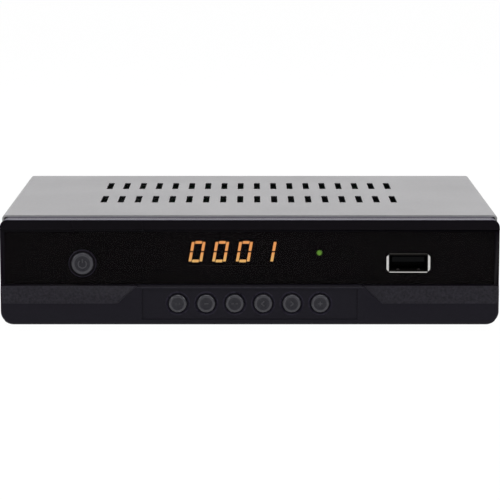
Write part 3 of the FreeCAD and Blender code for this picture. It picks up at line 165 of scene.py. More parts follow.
def galvanised_steel():
    """Hot-dip galvanised sheet: zinc crystals about 4 mm across, each with its own brightness."""
    material, tree = blank_material("galvanised_steel")
    coords = add_node(tree, "ShaderNodeTexCoord")
    wobble = add_node(tree, "ShaderNodeTexNoise", {
        "Vector": (coords, "Object"), "Scale": 1 / (3 * MM), "Detail": 2.0,
    })
    crystals = add_node(tree, "ShaderNodeTexVoronoi", {
        "Vector": (coords, "Object"), "Scale": 1 / (4 * MM), "Smoothness": 0.3, "Randomness": 1.0,
    }, feature="SMOOTH_F1")
    grey = add_node(tree, "ShaderNodeRGBToBW", {"Color": (crystals, "Color")})
    tint = add_node(tree, "ShaderNodeValToRGB", {"Fac": (grey, "Val")})
    set_ramp(tint, (0.1, linear("B9BBBD")), (0.9, linear("C7C9CB")))
    gloss = add_node(
        tree, "ShaderNodeMapRange", {"Value": (grey, "Val"), "To Min": 0.32, "To Max": 0.4}
    )
    relief = add_node(tree, "ShaderNodeBump", {
        "Height": (wobble, "Fac"), "Strength": 0.4, "Distance": 0.006 * MM,
    })
    shader = add_node(tree, "ShaderNodeBsdfPrincipled", {
        "Base Color": (tint, "Color"), "Roughness": (gloss, "Result"),
        "Normal": (relief, "Normal"), "Metallic": 1.0,
    })
    add_node(tree, "ShaderNodeOutputMaterial", {"Surface": (shader, "BSDF")})
    return material


def solder_mask():
    """Green solder mask on glass laminate, with copper tracks as lighter lines under it."""
    material, tree = blank_material("solder_mask")
    coords = add_node(tree, "ShaderNodeTexCoord")
    tracks = add_node(tree, "ShaderNodeTexBrick", {
        "Vector": (coords, "Object"), "Scale": 1 / (9 * MM), "Mortar Size": 0.045,
        "Mortar Smooth": 0.2, "Brick Width": 0.9, "Row Height": 0.28,
        "Color1": linear("0F4A26"), "Color2": linear("125229"), "Mortar": linear("2A7A45"),
    }, offset=0.37, squash=1.6, squash_frequency=3)
    relief = add_node(tree, "ShaderNodeBump", {
        "Height": (tracks, "Fac"), "Strength": 0.5, "Distance": 0.03 * MM,
    })
    shader = add_node(tree, "ShaderNodeBsdfPrincipled", {
        "Base Color": (tracks, "Color"), "Normal": (relief, "Normal"),
        "Roughness": 0.32, "Coat Weight": 0.3,
    })
    add_node(tree, "ShaderNodeOutputMaterial", {"Surface": (shader, "BSDF")})
    return material


def glowing_resin(name, low_colour, high_colour, low, high, strength, core=None):
    """Diffusing epoxy over a light-emitting chip: the glow drifts from one colour to another with
    height, or towards a core given by its place and radius."""
    material, tree = blank_material(name)
    coords = add_node(tree, "ShaderNodeTexCoord")
    if core:
        # Brightest over the chip.
        spread = add_node(
            tree, "ShaderNodeVectorMath", {0: (coords, "Object"), 1: Vector(core[:3]) * MM},
            operation="DISTANCE",
        )
        source, low, high = (spread, "Value"), core[3], 0
    else:
        split = add_node(tree, "ShaderNodeSeparateXYZ", {"Vector": (coords, "Object")})
        source = (split, "Z")
    level = add_node(
        tree, "ShaderNodeMapRange", {"Value": source, "From Min": low * MM, "From Max": high * MM}
    )
    patchy = add_node(tree, "ShaderNodeTexNoise", {
        "Vector": (coords, "Object"), "Scale": 1 / (2.2 * MM), "Detail": 2.0,
    })
    mixed = add_node(
        tree, "ShaderNodeMath", {0: (patchy, "Fac"), 1: 0.7, 2: (level, "Result")},
        operation="MULTIPLY_ADD",
    )
    glow = add_node(tree, "ShaderNodeValToRGB", {"Fac": (mixed, "Value")})
    set_ramp(glow, (0.3, low_colour), (0.8, high_colour))
    shader = add_node(tree, "ShaderNodeBsdfPrincipled", {
        "Base Color": (glow, "Color"), "Emission Color": (glow, "Color"),
        "Emission Strength": strength, "Roughness": 0.4,
    })
    add_node(tree, "ShaderNodeOutputMaterial", {"Surface": (shader, "BSDF")})
    return material


def lit_amber_resin():
    """Amber display bars, lit: orange at the top of a digit and yellower at its foot."""
    look = bpy.context.scene.receiver_looks
    low, high = millimetres("display_lit_bars")
    return glowing_resin(
        "lit_amber_resin", tuple(look.digit_foot_colour), tuple(look.digit_top_colour),
        low.z, high.z, look.digit_glow,
    )


def lit_green_epoxy():
    """Green lamp lens, lit."""
    look = bpy.context.scene.receiver_looks
    low, high = millimetres("status_lamp")
    x, z = centre_of("status_lamp")
    return glowing_resin(
        "lit_green_epoxy", shaded(look.lamp_colour, 0.25), tuple(look.lamp_colour),
        low.z, high.z, look.lamp_glow, (x, low.y, z, 0.85),
    )


# Finishes whose colour a user may change: name, then the setting that holds the colour, how much
# lighter the finish is, grain, relief, roughness range, and contrast and the shader's sockets.
CHOSEN_FINISHES = {
    # Black ABS from a polished tool: dark, soft in its gloss, with a faint violet cast.
    "moulded_abs_satin": ("front_colour", 1, 0.9, 0.004, (0.36, 0.46), {SPECULAR: 0.09}),
    # The same ABS from a spark-eroded tool, whose grain scatters light and looks greyer. The real
    # grain is about 0.35 mm. It is drawn at 0.8 mm, which still shows at this distance.
    "moulded_abs_grained": (
        "wing_colour", 1, 0.8, 0.12, (0.46, 0.58), {"contrast": 0.4, SPECULAR: 0.14},
    ),
    # Black ABS from a mirror-polished tool, on the strip above the window.
    "moulded_abs_gloss": ("strip_colour", 1, 2.0, 0.002, (0.2, 0.28), {SPECULAR: 0.05}),
    # The same ABS, polished, on the upward edge behind the strip, with its colour made eight times
    # lighter: a painted reflection of the bright surroundings seen at a grazing angle.
    "moulded_abs_edge": ("front_colour", 8, 1.5, 0.002, (0.13, 0.2), {SPECULAR: 0.55}),
    # The same ABS in the dishes round the buttons, made 2.6 times lighter as a painted highlight,
    # so that the dish rims show as lit crescents.
    "moulded_abs_scuffed": (
        "front_colour", 2.6, 0.6, 0.01, (0.42, 0.52), {"contrast": 0.2, SPECULAR: 0.05},
    ),
    # Silver-grey stoving paint on folded steel: satin, with a 1 mm orange peel and pigment.
    "painted_steel": (
        "cover_colour", 1, 1.1, 0.012, (0.42, 0.52), {"contrast": 0.035, SPECULAR: 0.32},
    ),
    # Dark grey ABS caps with a satin, turned-looking face that picks up light at its rim.
    "button_abs": (
        "button_colour", 1, 0.45, 0.012, (0.34, 0.46), {"contrast": 0.22, SPECULAR: 0.16},
    ),
    # The rim and the raised strokes of the caps, in a lighter and glossier copy of the caps' ABS: a
    # painted highlight.
    "button_abs_rim": (
        "button_colour", 1.35, 0.45, 0.012, (0.26, 0.36), {"contrast": 0.16, SPECULAR: 0.5},
    ),
}
# The small pieces' finishes: name, then colour, grain, relief, roughness range and the
# shader's sockets.
SMALL_FINISHES = {
    # Natural rubber from a plain tool: dull and slightly dusty.
    "moulded_rubber": ("1B1B1C", 0.8, 0.03, (0.75, 0.88), {SPECULAR: 0.3}),
    # Nickel over brass, machined: fine turning marks under a bright plate.
    "nickel_plate": ("C9C4BA", 0.5, 0.004, (0.14, 0.24), {"Metallic": 1.0}),
    # Nickel on a punched steel shell, brighter and colder than on brass.
    "plated_shell": ("D4D3D0", 1.2, 0.006, (0.2, 0.32), {"Metallic": 1.0}),
    # The shell's inner walls, in a dark metal that is painted shade inside the socket.
    "dull_shell": ("2E2C2B", 0.9, 0.01, (0.4, 0.52), {"Metallic": 1.0}),
    # The same tarnish on the shell's upper lip, rubbed a little brighter.
    # The shell's upper lip, darkened less than the inner walls: painted shade.
    "tarnished_lip": ("504E4B", 0.9, 0.01, (0.36, 0.46), {"Metallic": 1.0}),
    # Bright tinplate of a pressed can.
    "bright_tinplate": ("C2C1BC", 2.5, 0.01, (0.24, 0.36), {"Metallic": 1.0}),
    # Zinc-plated screws, slightly yellowed.
    "zinc_plate": ("BDBBB2", 0.6, 0.006, (0.3, 0.42), {"Metallic": 1.0}),
    # Black oxide on steel screws.
    "black_oxide": ("232325", 0.6, 0.006, (0.36, 0.5), {"Metallic": 0.6}),
    # Gold flash on spring contacts.
    "gold_flash": ("D9A94E", 0.5, 0.002, (0.2, 0.3), {"Metallic": 1.0}),
    # Black nylon of sockets and switches.
    "black_nylon": ("141415", 0.7, 0.01, (0.5, 0.62), {SPECULAR: 0.35}),
    # Black liquid-crystal polymer of socket tongues, dark and close-grained.
    "tongue_polymer": ("070708", 0.7, 0.005, (0.4, 0.5), {SPECULAR: 0.06}),
    # Dark steel on the punched walls of the cover's slots: painted shade inside the slots.
    "phosphated_steel": ("1C1C1F", 0.5, 0.006, (0.5, 0.62), {SPECULAR: 0.1}),
    # White thermoplastic of insulators and ribbon sockets.
    "natural_nylon": ("D8D2C2", 0.9, 0.008, (0.4, 0.52), {"Subsurface Weight": 0.05}),
    # Orange moulding of a digital audio socket.
    "orange_abs": ("D9701A", 0.9, 0.006, (0.3, 0.42), {}),
    # Epoxy of chip packages, sand-matte.
    "chip_epoxy": ("1A1A1B", 0.4, 0.01, (0.55, 0.68), {SPECULAR: 0.4}),
    # Black anodised extrusion, with the draw marks along it.
    "anodised_aluminium": ("242426", 0.8, 0.01, (0.34, 0.46), {"Metallic": 0.7}),
    # Shrink sleeve of capacitors.
    "shrink_sleeve": ("16233F", 3.0, 0.01, (0.22, 0.34), {}),
    # Sintered ferrite of coils.
    "sintered_ferrite": ("2B2B2D", 0.3, 0.02, (0.6, 0.74), {}),
    # White polyester of flat cable.
    "polyester_film": ("CFCFCB", 4.0, 0.01, (0.3, 0.4), {}),
    # Black reflector block of the display.
    "display_abs": ("0A0A0B", 0.8, 0.004, (0.42, 0.52), {SPECULAR: 0.2}),
    # Display bars that aren't lit: grey diffusing resin.
    "dark_resin": ("1B1917", 0.8, 0.002, (0.4, 0.5), {SPECULAR: 0.2}),
    # Epoxy that only lets infrared through: black with a wine-red depth.
    "infrared_epoxy": ("120A0C", 1.0, 0.002, (0.12, 0.2), {}),
}
MADE_FINISHES = (
    smoked_acrylic, galvanised_steel, solder_mask, lit_amber_resin, lit_green_epoxy,
)


def finish_named(name):
    """The material of that name, made when it is first asked for."""
    material = bpy.data.materials.get(name)
    if material:
        return material
    if name in SMALL_FINISHES:
        code, *recipe, sockets = SMALL_FINISHES[name]
        return surface(name, linear(code), *recipe, **sockets)
    if name in CHOSEN_FINISHES:
        setting, factor, *recipe, sockets = CHOSEN_FINISHES[name]
        colour = shaded(getattr(bpy.context.scene.receiver_looks, setting), factor)
        return surface(name, colour, *recipe, **sockets)
    return next(make for make in MADE_FINISHES if make.__name__ == name)()


# Modelling by hand


def object_mode():
    """Leaves edit mode."""
    bpy.ops.object.mode_set(mode="OBJECT")


def edit_mode():
    """Enters edit mode on the active piece."""
    bpy.ops.object.mode_set(mode="EDIT")


def deselect():
    """Object mode with nothing selected."""
    if bpy.context.mode != "OBJECT":
        object_mode()
    bpy.ops.object.select_all(action="DESELECT")


def activate(piece):
    """Only this piece selected, and active."""
    deselect()
    piece.select_set(True)
    bpy.context.view_layer.objects.active = piece


def settle(name):
    """Names the primitive just added and moves its place into its mesh."""
    piece = bpy.context.object
    piece.name = piece.data.name = name
    bpy.ops.object.transform_apply(location=True, rotation=True, scale=True)
    return piece


def add_block(name, x, y, z):
    """A block between two values on each axis."""
    deselect()
    low, high = Vector((x[0], y[0], z[0])) * MM, Vector((x[1], y[1], z[1])) * MM
    bpy.ops.mesh.primitive_cube_add(size=1, location=(low + high) / 2, scale=high - low)
    return settle(name)


def add_round(name, rings, x, z, sides=48):
    """A round piece along Y: a disc extruded and resized to each ring's radius and station."""
    deselect()
    radius, station = rings[0]
    bpy.ops.mesh.primitive_circle_add(
        vertices=sides, radius=radius * MM, fill_type="NGON",
        location=(x * MM, station * MM, z * MM), rotation=(math.pi / 2, 0, 0),
    )
    piece = settle(name)
    edit_mode()
    bpy.ops.mesh.select_all(action="SELECT")
    for next_radius, next_station in rings[1:]:
        step = (0, (next_station - station) * MM, 0)
        bpy.ops.mesh.extrude_region_move(TRANSFORM_OT_translate={"value": step})
        ratio = next_radius / radius
        if ratio != 1:
            bpy.ops.transform.resize(
                value=(ratio, 1, ratio), center_override=(x * MM, next_station * MM, z * MM)
            )
        radius, station = next_radius, next_station
    bpy.ops.mesh.select_all(action="SELECT")
    bpy.ops.mesh.normals_make_consistent(inside=False)
    object_mode()
    return piece


def shape_with(piece, kind, **settings):
    """Adds one modifier and applies it."""
    activate(piece)
    modifier = piece.modifiers.new(kind.title(), kind)
    for name, value in settings.items():
        setattr(modifier, name, value)
    bpy.ops.object.modifier_apply(modifier=modifier.name)
    return piece


def gather(name, pieces):
    """Several pieces joined into one object."""
    activate(pieces[0])
    for piece in pieces:
        piece.select_set(True)
    bpy.ops.object.join()
    joined = bpy.context.object
    joined.name = joined.data.name = name
    return joined


def copies(piece, offsets):
    """Copies of a piece at offsets in millimetres, in place of the piece itself."""
    made = []
    for offset in offsets:
        twin = piece.copy()
        twin.data = piece.data.copy()
        bpy.context.scene.collection.objects.link(twin)
        twin.location = Vector(offset) * MM
        made.append(twin)
    deselect()
    bpy.data.objects.remove(piece)
    for twin in made:
        twin.select_set(True)
    bpy.context.view_layer.objects.active = made[0]
    bpy.ops.object.transform_apply(location=True, rotation=False, scale=False)
    return made


def combine(piece, operation, tools):
    """Cuts the tools out of a piece, or makes them part of it."""
    for tool in tools:
        shape_with(piece, "BOOLEAN", operation=operation, object=tool, solver="EXACT")
        bpy.data.objects.remove(tool)
    return piece


def pick(piece, kind, wanted):
    """Edit mode with only the wanted edges or faces selected.

    An edge is tested by its two ends, and a face by its centre and normal, in millimetres."""
    activate(piece)
    edit_mode()
    bpy.ops.mesh.select_mode(type=kind)
    bpy.ops.mesh.select_all(action="DESELECT")
    object_mode()
    mesh = piece.data
    if kind == "EDGE":
        for edge in mesh.edges:
            edge.select = wanted(*(mesh.vertices[i].co / MM for i in edge.vertices))
    else:
        for face in mesh.polygons:
            face.select = wanted(face.center / MM, face.normal)
    edit_mode()


def bevel_edges(piece, width, segments, wanted):
    """Rounds the edges that a test picks."""
    pick(piece, "EDGE", wanted)
    bpy.ops.mesh.bevel(offset=width * MM, segments=segments, affect="EDGES", clamp_overlap=True)
    object_mode()


def near(value, wanted, slack=0.02):
    """True if two lengths agree."""
    return abs(value - wanted) < slack


def break_edges(piece, width, segments=2, angle=35):
    """Takes the sharpness off every edge, as tooling and plating do."""
    return shape_with(
        piece, "BEVEL", width=width * MM, segments=segments, limit_method="ANGLE",
        angle_limit=math.radians(angle), use_clamp_overlap=True, loop_slide=True,
    )


def merged_copy(name, node):
    """A copy of a CAD solid with its loose triangles merged into faces."""
    piece = bpy.data.objects.new(name, NODES[node].data.copy())
    piece.data.name = name
    piece.data.materials.clear()
    bpy.context.scene.collection.objects.link(piece)
    activate(piece)
    edit_mode()
    bpy.ops.mesh.select_all(action="SELECT")
    bpy.ops.mesh.remove_doubles(threshold=0.001 * MM)
    bpy.ops.mesh.dissolve_limited(angle_limit=math.radians(0.5))
    object_mode()
    return piece


def complete(piece, finish, nodes, body="case", smooth=38):
    """Smooths, paints and hands a piece to the body it moves with."""
    activate(piece)
    bpy.ops.object.shade_smooth_by_angle(angle=math.radians(smooth))
    shape_with(piece, "WEIGHTED_NORMAL", keep_sharp=True)
    if finish:
        piece.data.materials.clear()
        piece.data.materials.append(finish_named(finish))
    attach(piece, body)
    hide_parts(*nodes)
    return piece


def paint_faces(piece, finish, wanted):
    """Gives the faces that a test picks a finish of their own."""
    piece.data.materials.append(finish_named(finish))
    pick(piece, "FACE", wanted)
    piece.active_material_index = len(piece.data.materials) - 1
    bpy.ops.object.material_slot_assign()
    object_mode()


def dress(nodes, finish, width, body="case"):
    """Like nodes with broken edges and one finish, each under its own piece name."""
    for node in nodes:
        piece = merged_copy(f"{node}_shown", node)
        if width:
            break_edges(piece, width)
        complete(piece, finish, [node], body)


class ReceiverSizes(PropertyGroup):
    """Sizes that a user would change. Each is in metres, as Blender keeps them."""

    moulded_edge: FloatProperty(
        name="Moulded edge", description="Rounding of the front moulding's edges",
        default=0.18 * MM, unit="LENGTH",
    )
    sheet_edge: FloatProperty(
        name="Sheet edge", description="Burr-free edge of the folded cover",
        default=0.12 * MM, unit="LENGTH",
    )
    vent_pitch: FloatProperty(
        name="Vent pitch", description="Slot to slot in the cover", default=6.0 * MM, unit="LENGTH"
    )
    vent_count: IntProperty(name="Vents in a row", description="Slots in each row", default=18)
    symbol_stroke: FloatProperty(
        name="Symbol stroke", description="Width of the symbols on the caps",
        default=0.38 * MM, unit="LENGTH",
    )
    thread_pitch: FloatProperty(
        name="Thread pitch", description="Thread of the dish cable studs, 32 turns to the inch",
        default=0.794 * MM, unit="LENGTH",
    )


def colour_setting(name, description, code):
    """A colour that a user would change, with its sRGB hex code as default."""
    return FloatVectorProperty(
        name=name, description=description, subtype="COLOR", size=4,
        default=linear(code), min=0, max=1,
    )


class ReceiverLooks(PropertyGroup):
    """Colours and glows that a user would change."""

    cover_colour: colour_setting("Cover", "Stoving paint of the cover", "A8A6A7")
    front_colour: colour_setting("Front", "Moulded front", "1A181F")
    wing_colour: colour_setting("Wings", "Grained bands of the front", "252329")
    strip_colour: colour_setting("Strip", "Polished strip above the window", "0C090E")
    window_colour: colour_setting("Window", "Smoked acrylic", "0A0708")
    window_darkness: FloatProperty(
        name="Window darkness",
        description="How much of what is behind it each face of the window hides",
        default=0.6, min=0, max=1, subtype="FACTOR",
    )
    button_colour: colour_setting("Buttons", "Caps of the buttons", "2C2B30")
    digit_top_colour: colour_setting("Digit top", "Lit bars at the top of a digit", "E09759")
    digit_foot_colour: colour_setting("Digit foot", "Lit bars at the foot of a digit", "DAAD68")
    digit_glow: FloatProperty(
        name="Digit glow", description="Strength of the lit bars", default=6.2, min=0, max=50
    )
    lamp_colour: colour_setting("Lamp", "Lit status lamp", "86C24C")
    lamp_glow: FloatProperty(
        name="Lamp glow", description="Strength of the lit lamp", default=2.7, min=0, max=50
    )


class ReceiverCamera(PropertyGroup):
    """The camera that the photograph was taken with."""

    lens: FloatProperty(
        name="Lens", description="Focal length for a 36 mm sensor", default=164.23, unit="CAMERA"
    )
    place: FloatVectorProperty(
        name="Place", description="Where the camera stands", subtype="XYZ", unit="LENGTH", size=3,
        default=(0.0001, -0.81568, 0.15024),
    )
    pitch: FloatProperty(
        name="Pitch", description="How far the camera looks down", subtype="ANGLE",
        default=math.radians(9.2),
    )


# Front moulding. The display's opening in the window seat, from the display's middle and front.
DISPLAY_HALF_WIDTH, DISPLAY_HALF_HEIGHT = 15.05, 4.6
SEAT_BEFORE, SEAT_BEHIND = 2.2, 0.3
# The button panel stands behind the foremost plane, and a shallow dish sinks into it round each
# button: radius, and how far behind the panel.
PANEL_SETBACK = 0.4
DISH_RINGS = ((4.5, -0.25), (4.1, 0.0), (3.3, 0.5), (3.25, 0.9))
# Inner radius of the collar and of the dishes, and how far out from it the painted highlight
# reaches.
COLLAR_INSIDE, DISH_INSIDE, HIGHLIGHT_REACH = 4.0, 3.3, 0.85
# Heights over the lowest point: the lip that reaches further down, the wings' crease, the ledge.
LIP, CREASE, LEDGE = 0.9, 7.1, 12.9
LIP_DROP = 0.2


class RECEIVER_OT_front_moulding(Operator):
    """Front moulding: satin lower front, grained wings and a polished upper strip"""

    bl_idname = "receiver.front_moulding"
    bl_label = "Front Moulding"

    def execute(self, context):
        sizes = context.scene.receiver_sizes
        piece = merged_copy("front_moulding", "front_bezel")
        x, z = centre_of("display_module")
        front = millimetres("display_module")[0].y
        opening = add_block(
            "display_tool", (x - DISPLAY_HALF_WIDTH, x + DISPLAY_HALF_WIDTH),
            (front - SEAT_BEFORE, front + SEAT_BEHIND),
            (z - DISPLAY_HALF_HEIGHT, z + DISPLAY_HALF_HEIGHT),
        )
        plane = BEZEL_LOW.y + PANEL_SETBACK
        rings = [(radius, plane + depth) for radius, depth in DISH_RINGS]
        dishes = [
            add_round("dish_tool", rings, *centre_of(f"panel_{number}_button"), 64)
            for number in CAP_SYMBOLS
        ]
        combine(piece, "DIFFERENCE", [opening, gather("dishes_tool", dishes)])
        break_edges(piece, sizes.moulded_edge / MM, 3, 30)
        # The lower edge reaches a little further down, and the ledge ends below a polished brow.
        pick(piece, "FACE", lambda centre, normal: centre.z < BEZEL_LOW.z + LIP)
        bpy.ops.transform.translate(value=(0, 0, -LIP_DROP * MM))
        crease, ledge = BEZEL_LOW.z + CREASE, BEZEL_LOW.z + LEDGE
        bpy.ops.mesh.select_all(action="SELECT")
        bpy.ops.mesh.bisect(plane_co=(0, 0, ledge * MM), plane_no=(0, 0, 1))
        object_mode()
        complete(piece, "moulded_abs_satin", ["front_bezel"])
        holes = [(*centre_of("power_button"), COLLAR_INSIDE)]
        holes += [(*centre_of(f"panel_{n}_button"), DISH_INSIDE) for n in CAP_SYMBOLS]

        def is_wing(centre, normal):
            return crease < centre.z < ledge and normal.y < -0.6 and 0.1 < normal.z < 0.4

        def is_strip(centre, normal):
            return centre.z > ledge and centre.y < BEZEL_LOW.y + 3.0 and normal.z < 0.8

        def is_edge(centre, normal):
            return centre.z > BEZEL_HIGH.z - 0.3 and normal.z > 0.8

        def is_dish(centre, normal):
            if not -0.99 < normal.y < -0.25 or centre.y > BEZEL_LOW.y + 2.5:
                return False
            return any(
                reach < math.hypot(centre.x - x, centre.z - z) < reach + HIGHLIGHT_REACH
                for x, z, reach in holes
            )

        paint_faces(piece, "moulded_abs_grained", is_wing)
        paint_faces(piece, "moulded_abs_gloss", is_strip)
        # Painted reflection on the upward edge behind the strip.
        paint_faces(piece, "moulded_abs_edge", is_edge)
        # Painted highlight on the dishes round the buttons and on the power collar.
        paint_faces(piece, "moulded_abs_scuffed", is_dish)
        return {"FINISHED"}


# Openings in the window: round the power button's collar, and round the front socket.
COLLAR_OPENING = 4.8
SOCKET_HALF_WIDTH, SOCKET_HALF_HEIGHT = 6.65, 2.96


class RECEIVER_OT_window(Operator):
    """Smoked acrylic window with openings for the power button and the front socket"""

    bl_idname = "receiver.window"
    bl_label = "Window"

    def execute(self, context):
        spans = [(WINDOW_LOW[i], WINDOW_HIGH[i]) for i in range(3)]
        piece = add_block("window_pane", *spans)
        through = (WINDOW_LOW.y - PAST, WINDOW_HIGH.y + PAST)
        rings = [(COLLAR_OPENING, station) for station in through]
        collar = add_round("collar_tool", rings, *centre_of("power_button"), 96)
        x, z = centre_of("usb_shell")
        socket = add_block(
            "socket_tool", (x - SOCKET_HALF_WIDTH, x + SOCKET_HALF_WIDTH), through,
            (z - SOCKET_HALF_HEIGHT, z + SOCKET_HALF_HEIGHT),
        )
        combine(piece, "DIFFERENCE", [collar, socket])
        break_edges(piece, 0.15, 2)
        complete(piece, "smoked_acrylic", ["front_window"])
        return {"FINISHED"}


# Folded cover: sheet, radii of its side, rear and inner folds, and the rear flange's height.
SHEET = 0.7
SIDE_FOLD, REAR_FOLD, INNER_FOLD = 1.2, 0.9, 0.5
FLANGE = 7.0
# Its slots: size, the rows' middle across, and each row's place behind the foremost plane.
SLOT_WIDTH, SLOT_LENGTH = 2.1, 16.4
SLOT_MIDDLE = -0.35
SLOT_ROWS = (45.3, 80.6)
# Radii of the holes and the heads of its screws.
SCREW_HOLE, SCREW_HEAD = 1.65, 2.75


class RECEIVER_OT_cover(Operator):
    """Folded steel cover with two rows of slots and a rear flange"""

    bl_idname = "receiver.cover"
    bl_label = "Cover"

    def execute(self, context):
        sizes = context.scene.receiver_sizes
        low, high = COVER_LOW, COVER_HIGH

        def side_fold(a, b):
            top = near(a.z, high.z) and near(b.z, high.z)
            return top and near(abs(a.x), high.x) and near(a.x, b.x)

        def rear_fold(a, b):
            top = a.z > high.z - 1.5 and b.z > high.z - 1.5
            return top and near(a.y, high.y) and near(b.y, high.y)

        def inner_fold(a, b):
            top = near(a.z, high.z - SHEET) and near(b.z, high.z - SHEET)
            return top and near(a.x, b.x)

        piece = add_block("folded_cover", (low.x, high.x), (low.y, high.y), (low.z, high.z))
        bevel_edges(piece, SIDE_FOLD, 6, side_fold)
        bevel_edges(piece, REAR_FOLD, 5, rear_fold)
        across = (low.x + SHEET, high.x - SHEET)
        hollow = add_block(
            "hollow_tool", across, (low.y - PAST, high.y - SHEET), (low.z - PAST, high.z - SHEET)
        )
        bevel_edges(hollow, INNER_FOLD, 4, inner_fold)
        gap = add_block(
            "gap_tool", across, (high.y - 2 * SHEET, high.y + PAST), (low.z - PAST, high.z - FLANGE)
        )
        combine(piece, "DIFFERENCE", [hollow, gap])

        pitch = sizes.vent_pitch / MM
        slot = add_block(
            "slot_tool", (-SLOT_WIDTH / 2, SLOT_WIDTH / 2), (-SLOT_LENGTH / 2, SLOT_LENGTH / 2),
            (high.z - 3 * SHEET, high.z + PAST),
        )
        first = SLOT_MIDDLE - pitch * (sizes.vent_count - 1) / 2
        slots = copies(slot, [
            (first + pitch * number, BEZEL_LOW.y + station, 0)
            for station in SLOT_ROWS
            for number in range(sizes.vent_count)
        ])
        screw_low, screw_high = millimetres("cover_screws")
        level = (screw_low.z + screw_high.z) / 2
        side = screw_high.x - SCREW_HEAD
        rings = [(SCREW_HOLE, high.y - PAST), (SCREW_HOLE, high.y + PAST)]
        holes = [add_round("hole_tool", rings, x, level) for x in (-side, 0, side)]
        combine(piece, "DIFFERENCE", [gather("slots_tool", slots), gather("holes_tool", holes)])
        break_edges(piece, sizes.sheet_edge / MM, 2)
        complete(piece, "painted_steel", ["top_cover"])

        def is_slot_wall(centre, normal):
            inside = low.y + 3 < centre.y < high.y - 3 and abs(centre.x) < high.x - 3
            level = high.z - 1.5 * SHEET < centre.z < high.z - 0.02
            return inside and level and abs(normal.z) < 0.5

        # Painted shade on the walls of the slots.
        paint_faces(piece, "phosphated_steel", is_slot_wall)
        return {"FINISHED"}


def symbol_bar(x, y, z, length, width, height, angle):
    """A raised stroke on a cap's face, turned about the viewing axis."""
    piece = add_block(
        "stroke", (-length / 2, length / 2), (y - height, y + height), (-width / 2, width / 2)
    )
    activate(piece)
    piece.rotation_euler.y = math.radians(angle)
    piece.location = (x * MM, 0, z * MM)
    bpy.ops.object.transform_apply(location=True, rotation=True, scale=True)
    return piece


def symbol_ring(x, y, z, radius, width, height):
    """A raised ring, open at the top, of short overlapping strokes."""
    strokes = []
    # Strokes in the ring, half its opening in degrees, and a stroke's length by the radius.
    count, gap, share = 22, 50, 0.34
    for number in range(count):
        angle = math.radians(gap + (360 - 2 * gap) * number / (count - 1))
        u, v = radius * math.sin(angle), radius * math.cos(angle)
        strokes.append(
            symbol_bar(x + u, y, z + v, radius * share, width, height, math.degrees(angle))
        )
    return strokes


# Strokes on the caps of the row: x, z, length and angle of each, from the middle of its cap.
CAP_SYMBOLS = {
    1: ((-0.55, 0.0, 0.6, 90), (0.55, 0.0, 0.6, 90)),
    2: ((0.0, 0.0, 1.5, 0),),
    3: ((-0.7, 0.0, 0.8, 0), (0.7, 0.0, 0.8, 0)),
    4: ((-0.1, 0.42, 1.3, -40), (-0.1, -0.42, 1.3, 40)),
    5: ((0.1, 0.42, 1.3, 40), (0.1, -0.42, 1.3, -40)),
    6: ((0.0, 0.0, 1.6, 0), (0.0, 0.0, 1.6, 90)),
}
# The power sign's ring radius and bar length, how far a stroke reaches to either side of its
# middle along Y, and how far that middle lies behind the cap's foremost ring.
POWER_RING, POWER_BAR = 1.35, 1.3
STROKE_RISE, STROKE_DEPTH = 0.14, 0.12
# A cap's dished face and its rim, which rounds off towards the hole: share of the cap's radius,
# and how far behind the foremost ring.
CAP_RINGS = (
    (0.3, 0.16), (0.55, 0.1), (0.7, 0.03), (0.78, 0.0), (0.86, 0.05),
    (0.93, 0.16), (0.975, 0.32), (0.995, 0.5), (1.0, 0.7),
)
# How far the foremost ring lies behind the solid's front, so that the strokes stay within it.
CAP_SETBACK = 0.05
# The flange that keeps a cap in: its place behind the foremost plane, its reach and its size.
POWER_FLANGE, PANEL_FLANGE = 5.2, 2.7
FLANGE_REACH, FLANGE_THICKNESS, FLANGE_CHAMFER = 0.8, 1.0, 0.1
STEM_RADIUS = 1.75


class RECEIVER_OT_buttons(Operator):
    """Power button and the row of like buttons, each crowned and with a raised symbol"""

    bl_idname = "receiver.buttons"
    bl_label = "Buttons"

    def execute(self, context):
        stroke = context.scene.receiver_sizes.symbol_stroke / MM
        for key in ["power"] + [f"panel_{n}" for n in CAP_SYMBOLS]:
            low, high = millimetres(f"{key}_button")
            x, z = centre_of(f"{key}_button")
            wide = (high.x - low.x) / 2
            radius = wide - FLANGE_REACH
            face = low.y + CAP_SETBACK
            flange = BEZEL_LOW.y + (POWER_FLANGE if key == "power" else PANEL_FLANGE)
            rear = flange + FLANGE_THICKNESS
            rings = [(radius * share, face + depth) for share, depth in CAP_RINGS]
            rings += [
                (radius, flange), (wide - FLANGE_CHAMFER, flange),
                (wide, flange + FLANGE_CHAMFER), (wide, rear - FLANGE_CHAMFER),
                (wide - FLANGE_CHAMFER, rear), (STEM_RADIUS, rear), (STEM_RADIUS, high.y),
            ]
            piece = add_round(f"{key}_cap", rings, x, z, 64)
            level = face + STROKE_DEPTH
            if key == "power":
                strokes = symbol_ring(x, level, z - 0.1, POWER_RING, stroke, STROKE_RISE)
                strokes.append(
                    symbol_bar(x, level, z + 0.95, POWER_BAR, stroke, STROKE_RISE, 90)
                )
            else:
                strokes = [
                    symbol_bar(x + u, level, z + v, length, stroke, STROKE_RISE, angle)
                    for u, v, length, angle in CAP_SYMBOLS[int(key[-1])]
                ]
            combine(piece, "UNION", strokes)
            complete(piece, "button_abs", [f"{key}_button"], f"{key}_key", 32)

            def is_rim(centre, normal):
                reach = math.hypot(centre.x - x, centre.z - z)
                raised = reach < 0.69 * radius and centre.y < face + 0.02
                return reach > 0.7 * radius or raised

            # Painted highlight on the cap's rim and raised strokes.
            paint_faces(piece, "button_abs_rim", is_rim)
            dress([f"{key}_plunger"], "black_nylon", 0.1, f"{key}_key")
            dress([f"{key}_switch"], "black_nylon", 0.15)
        return {"FINISHED"}


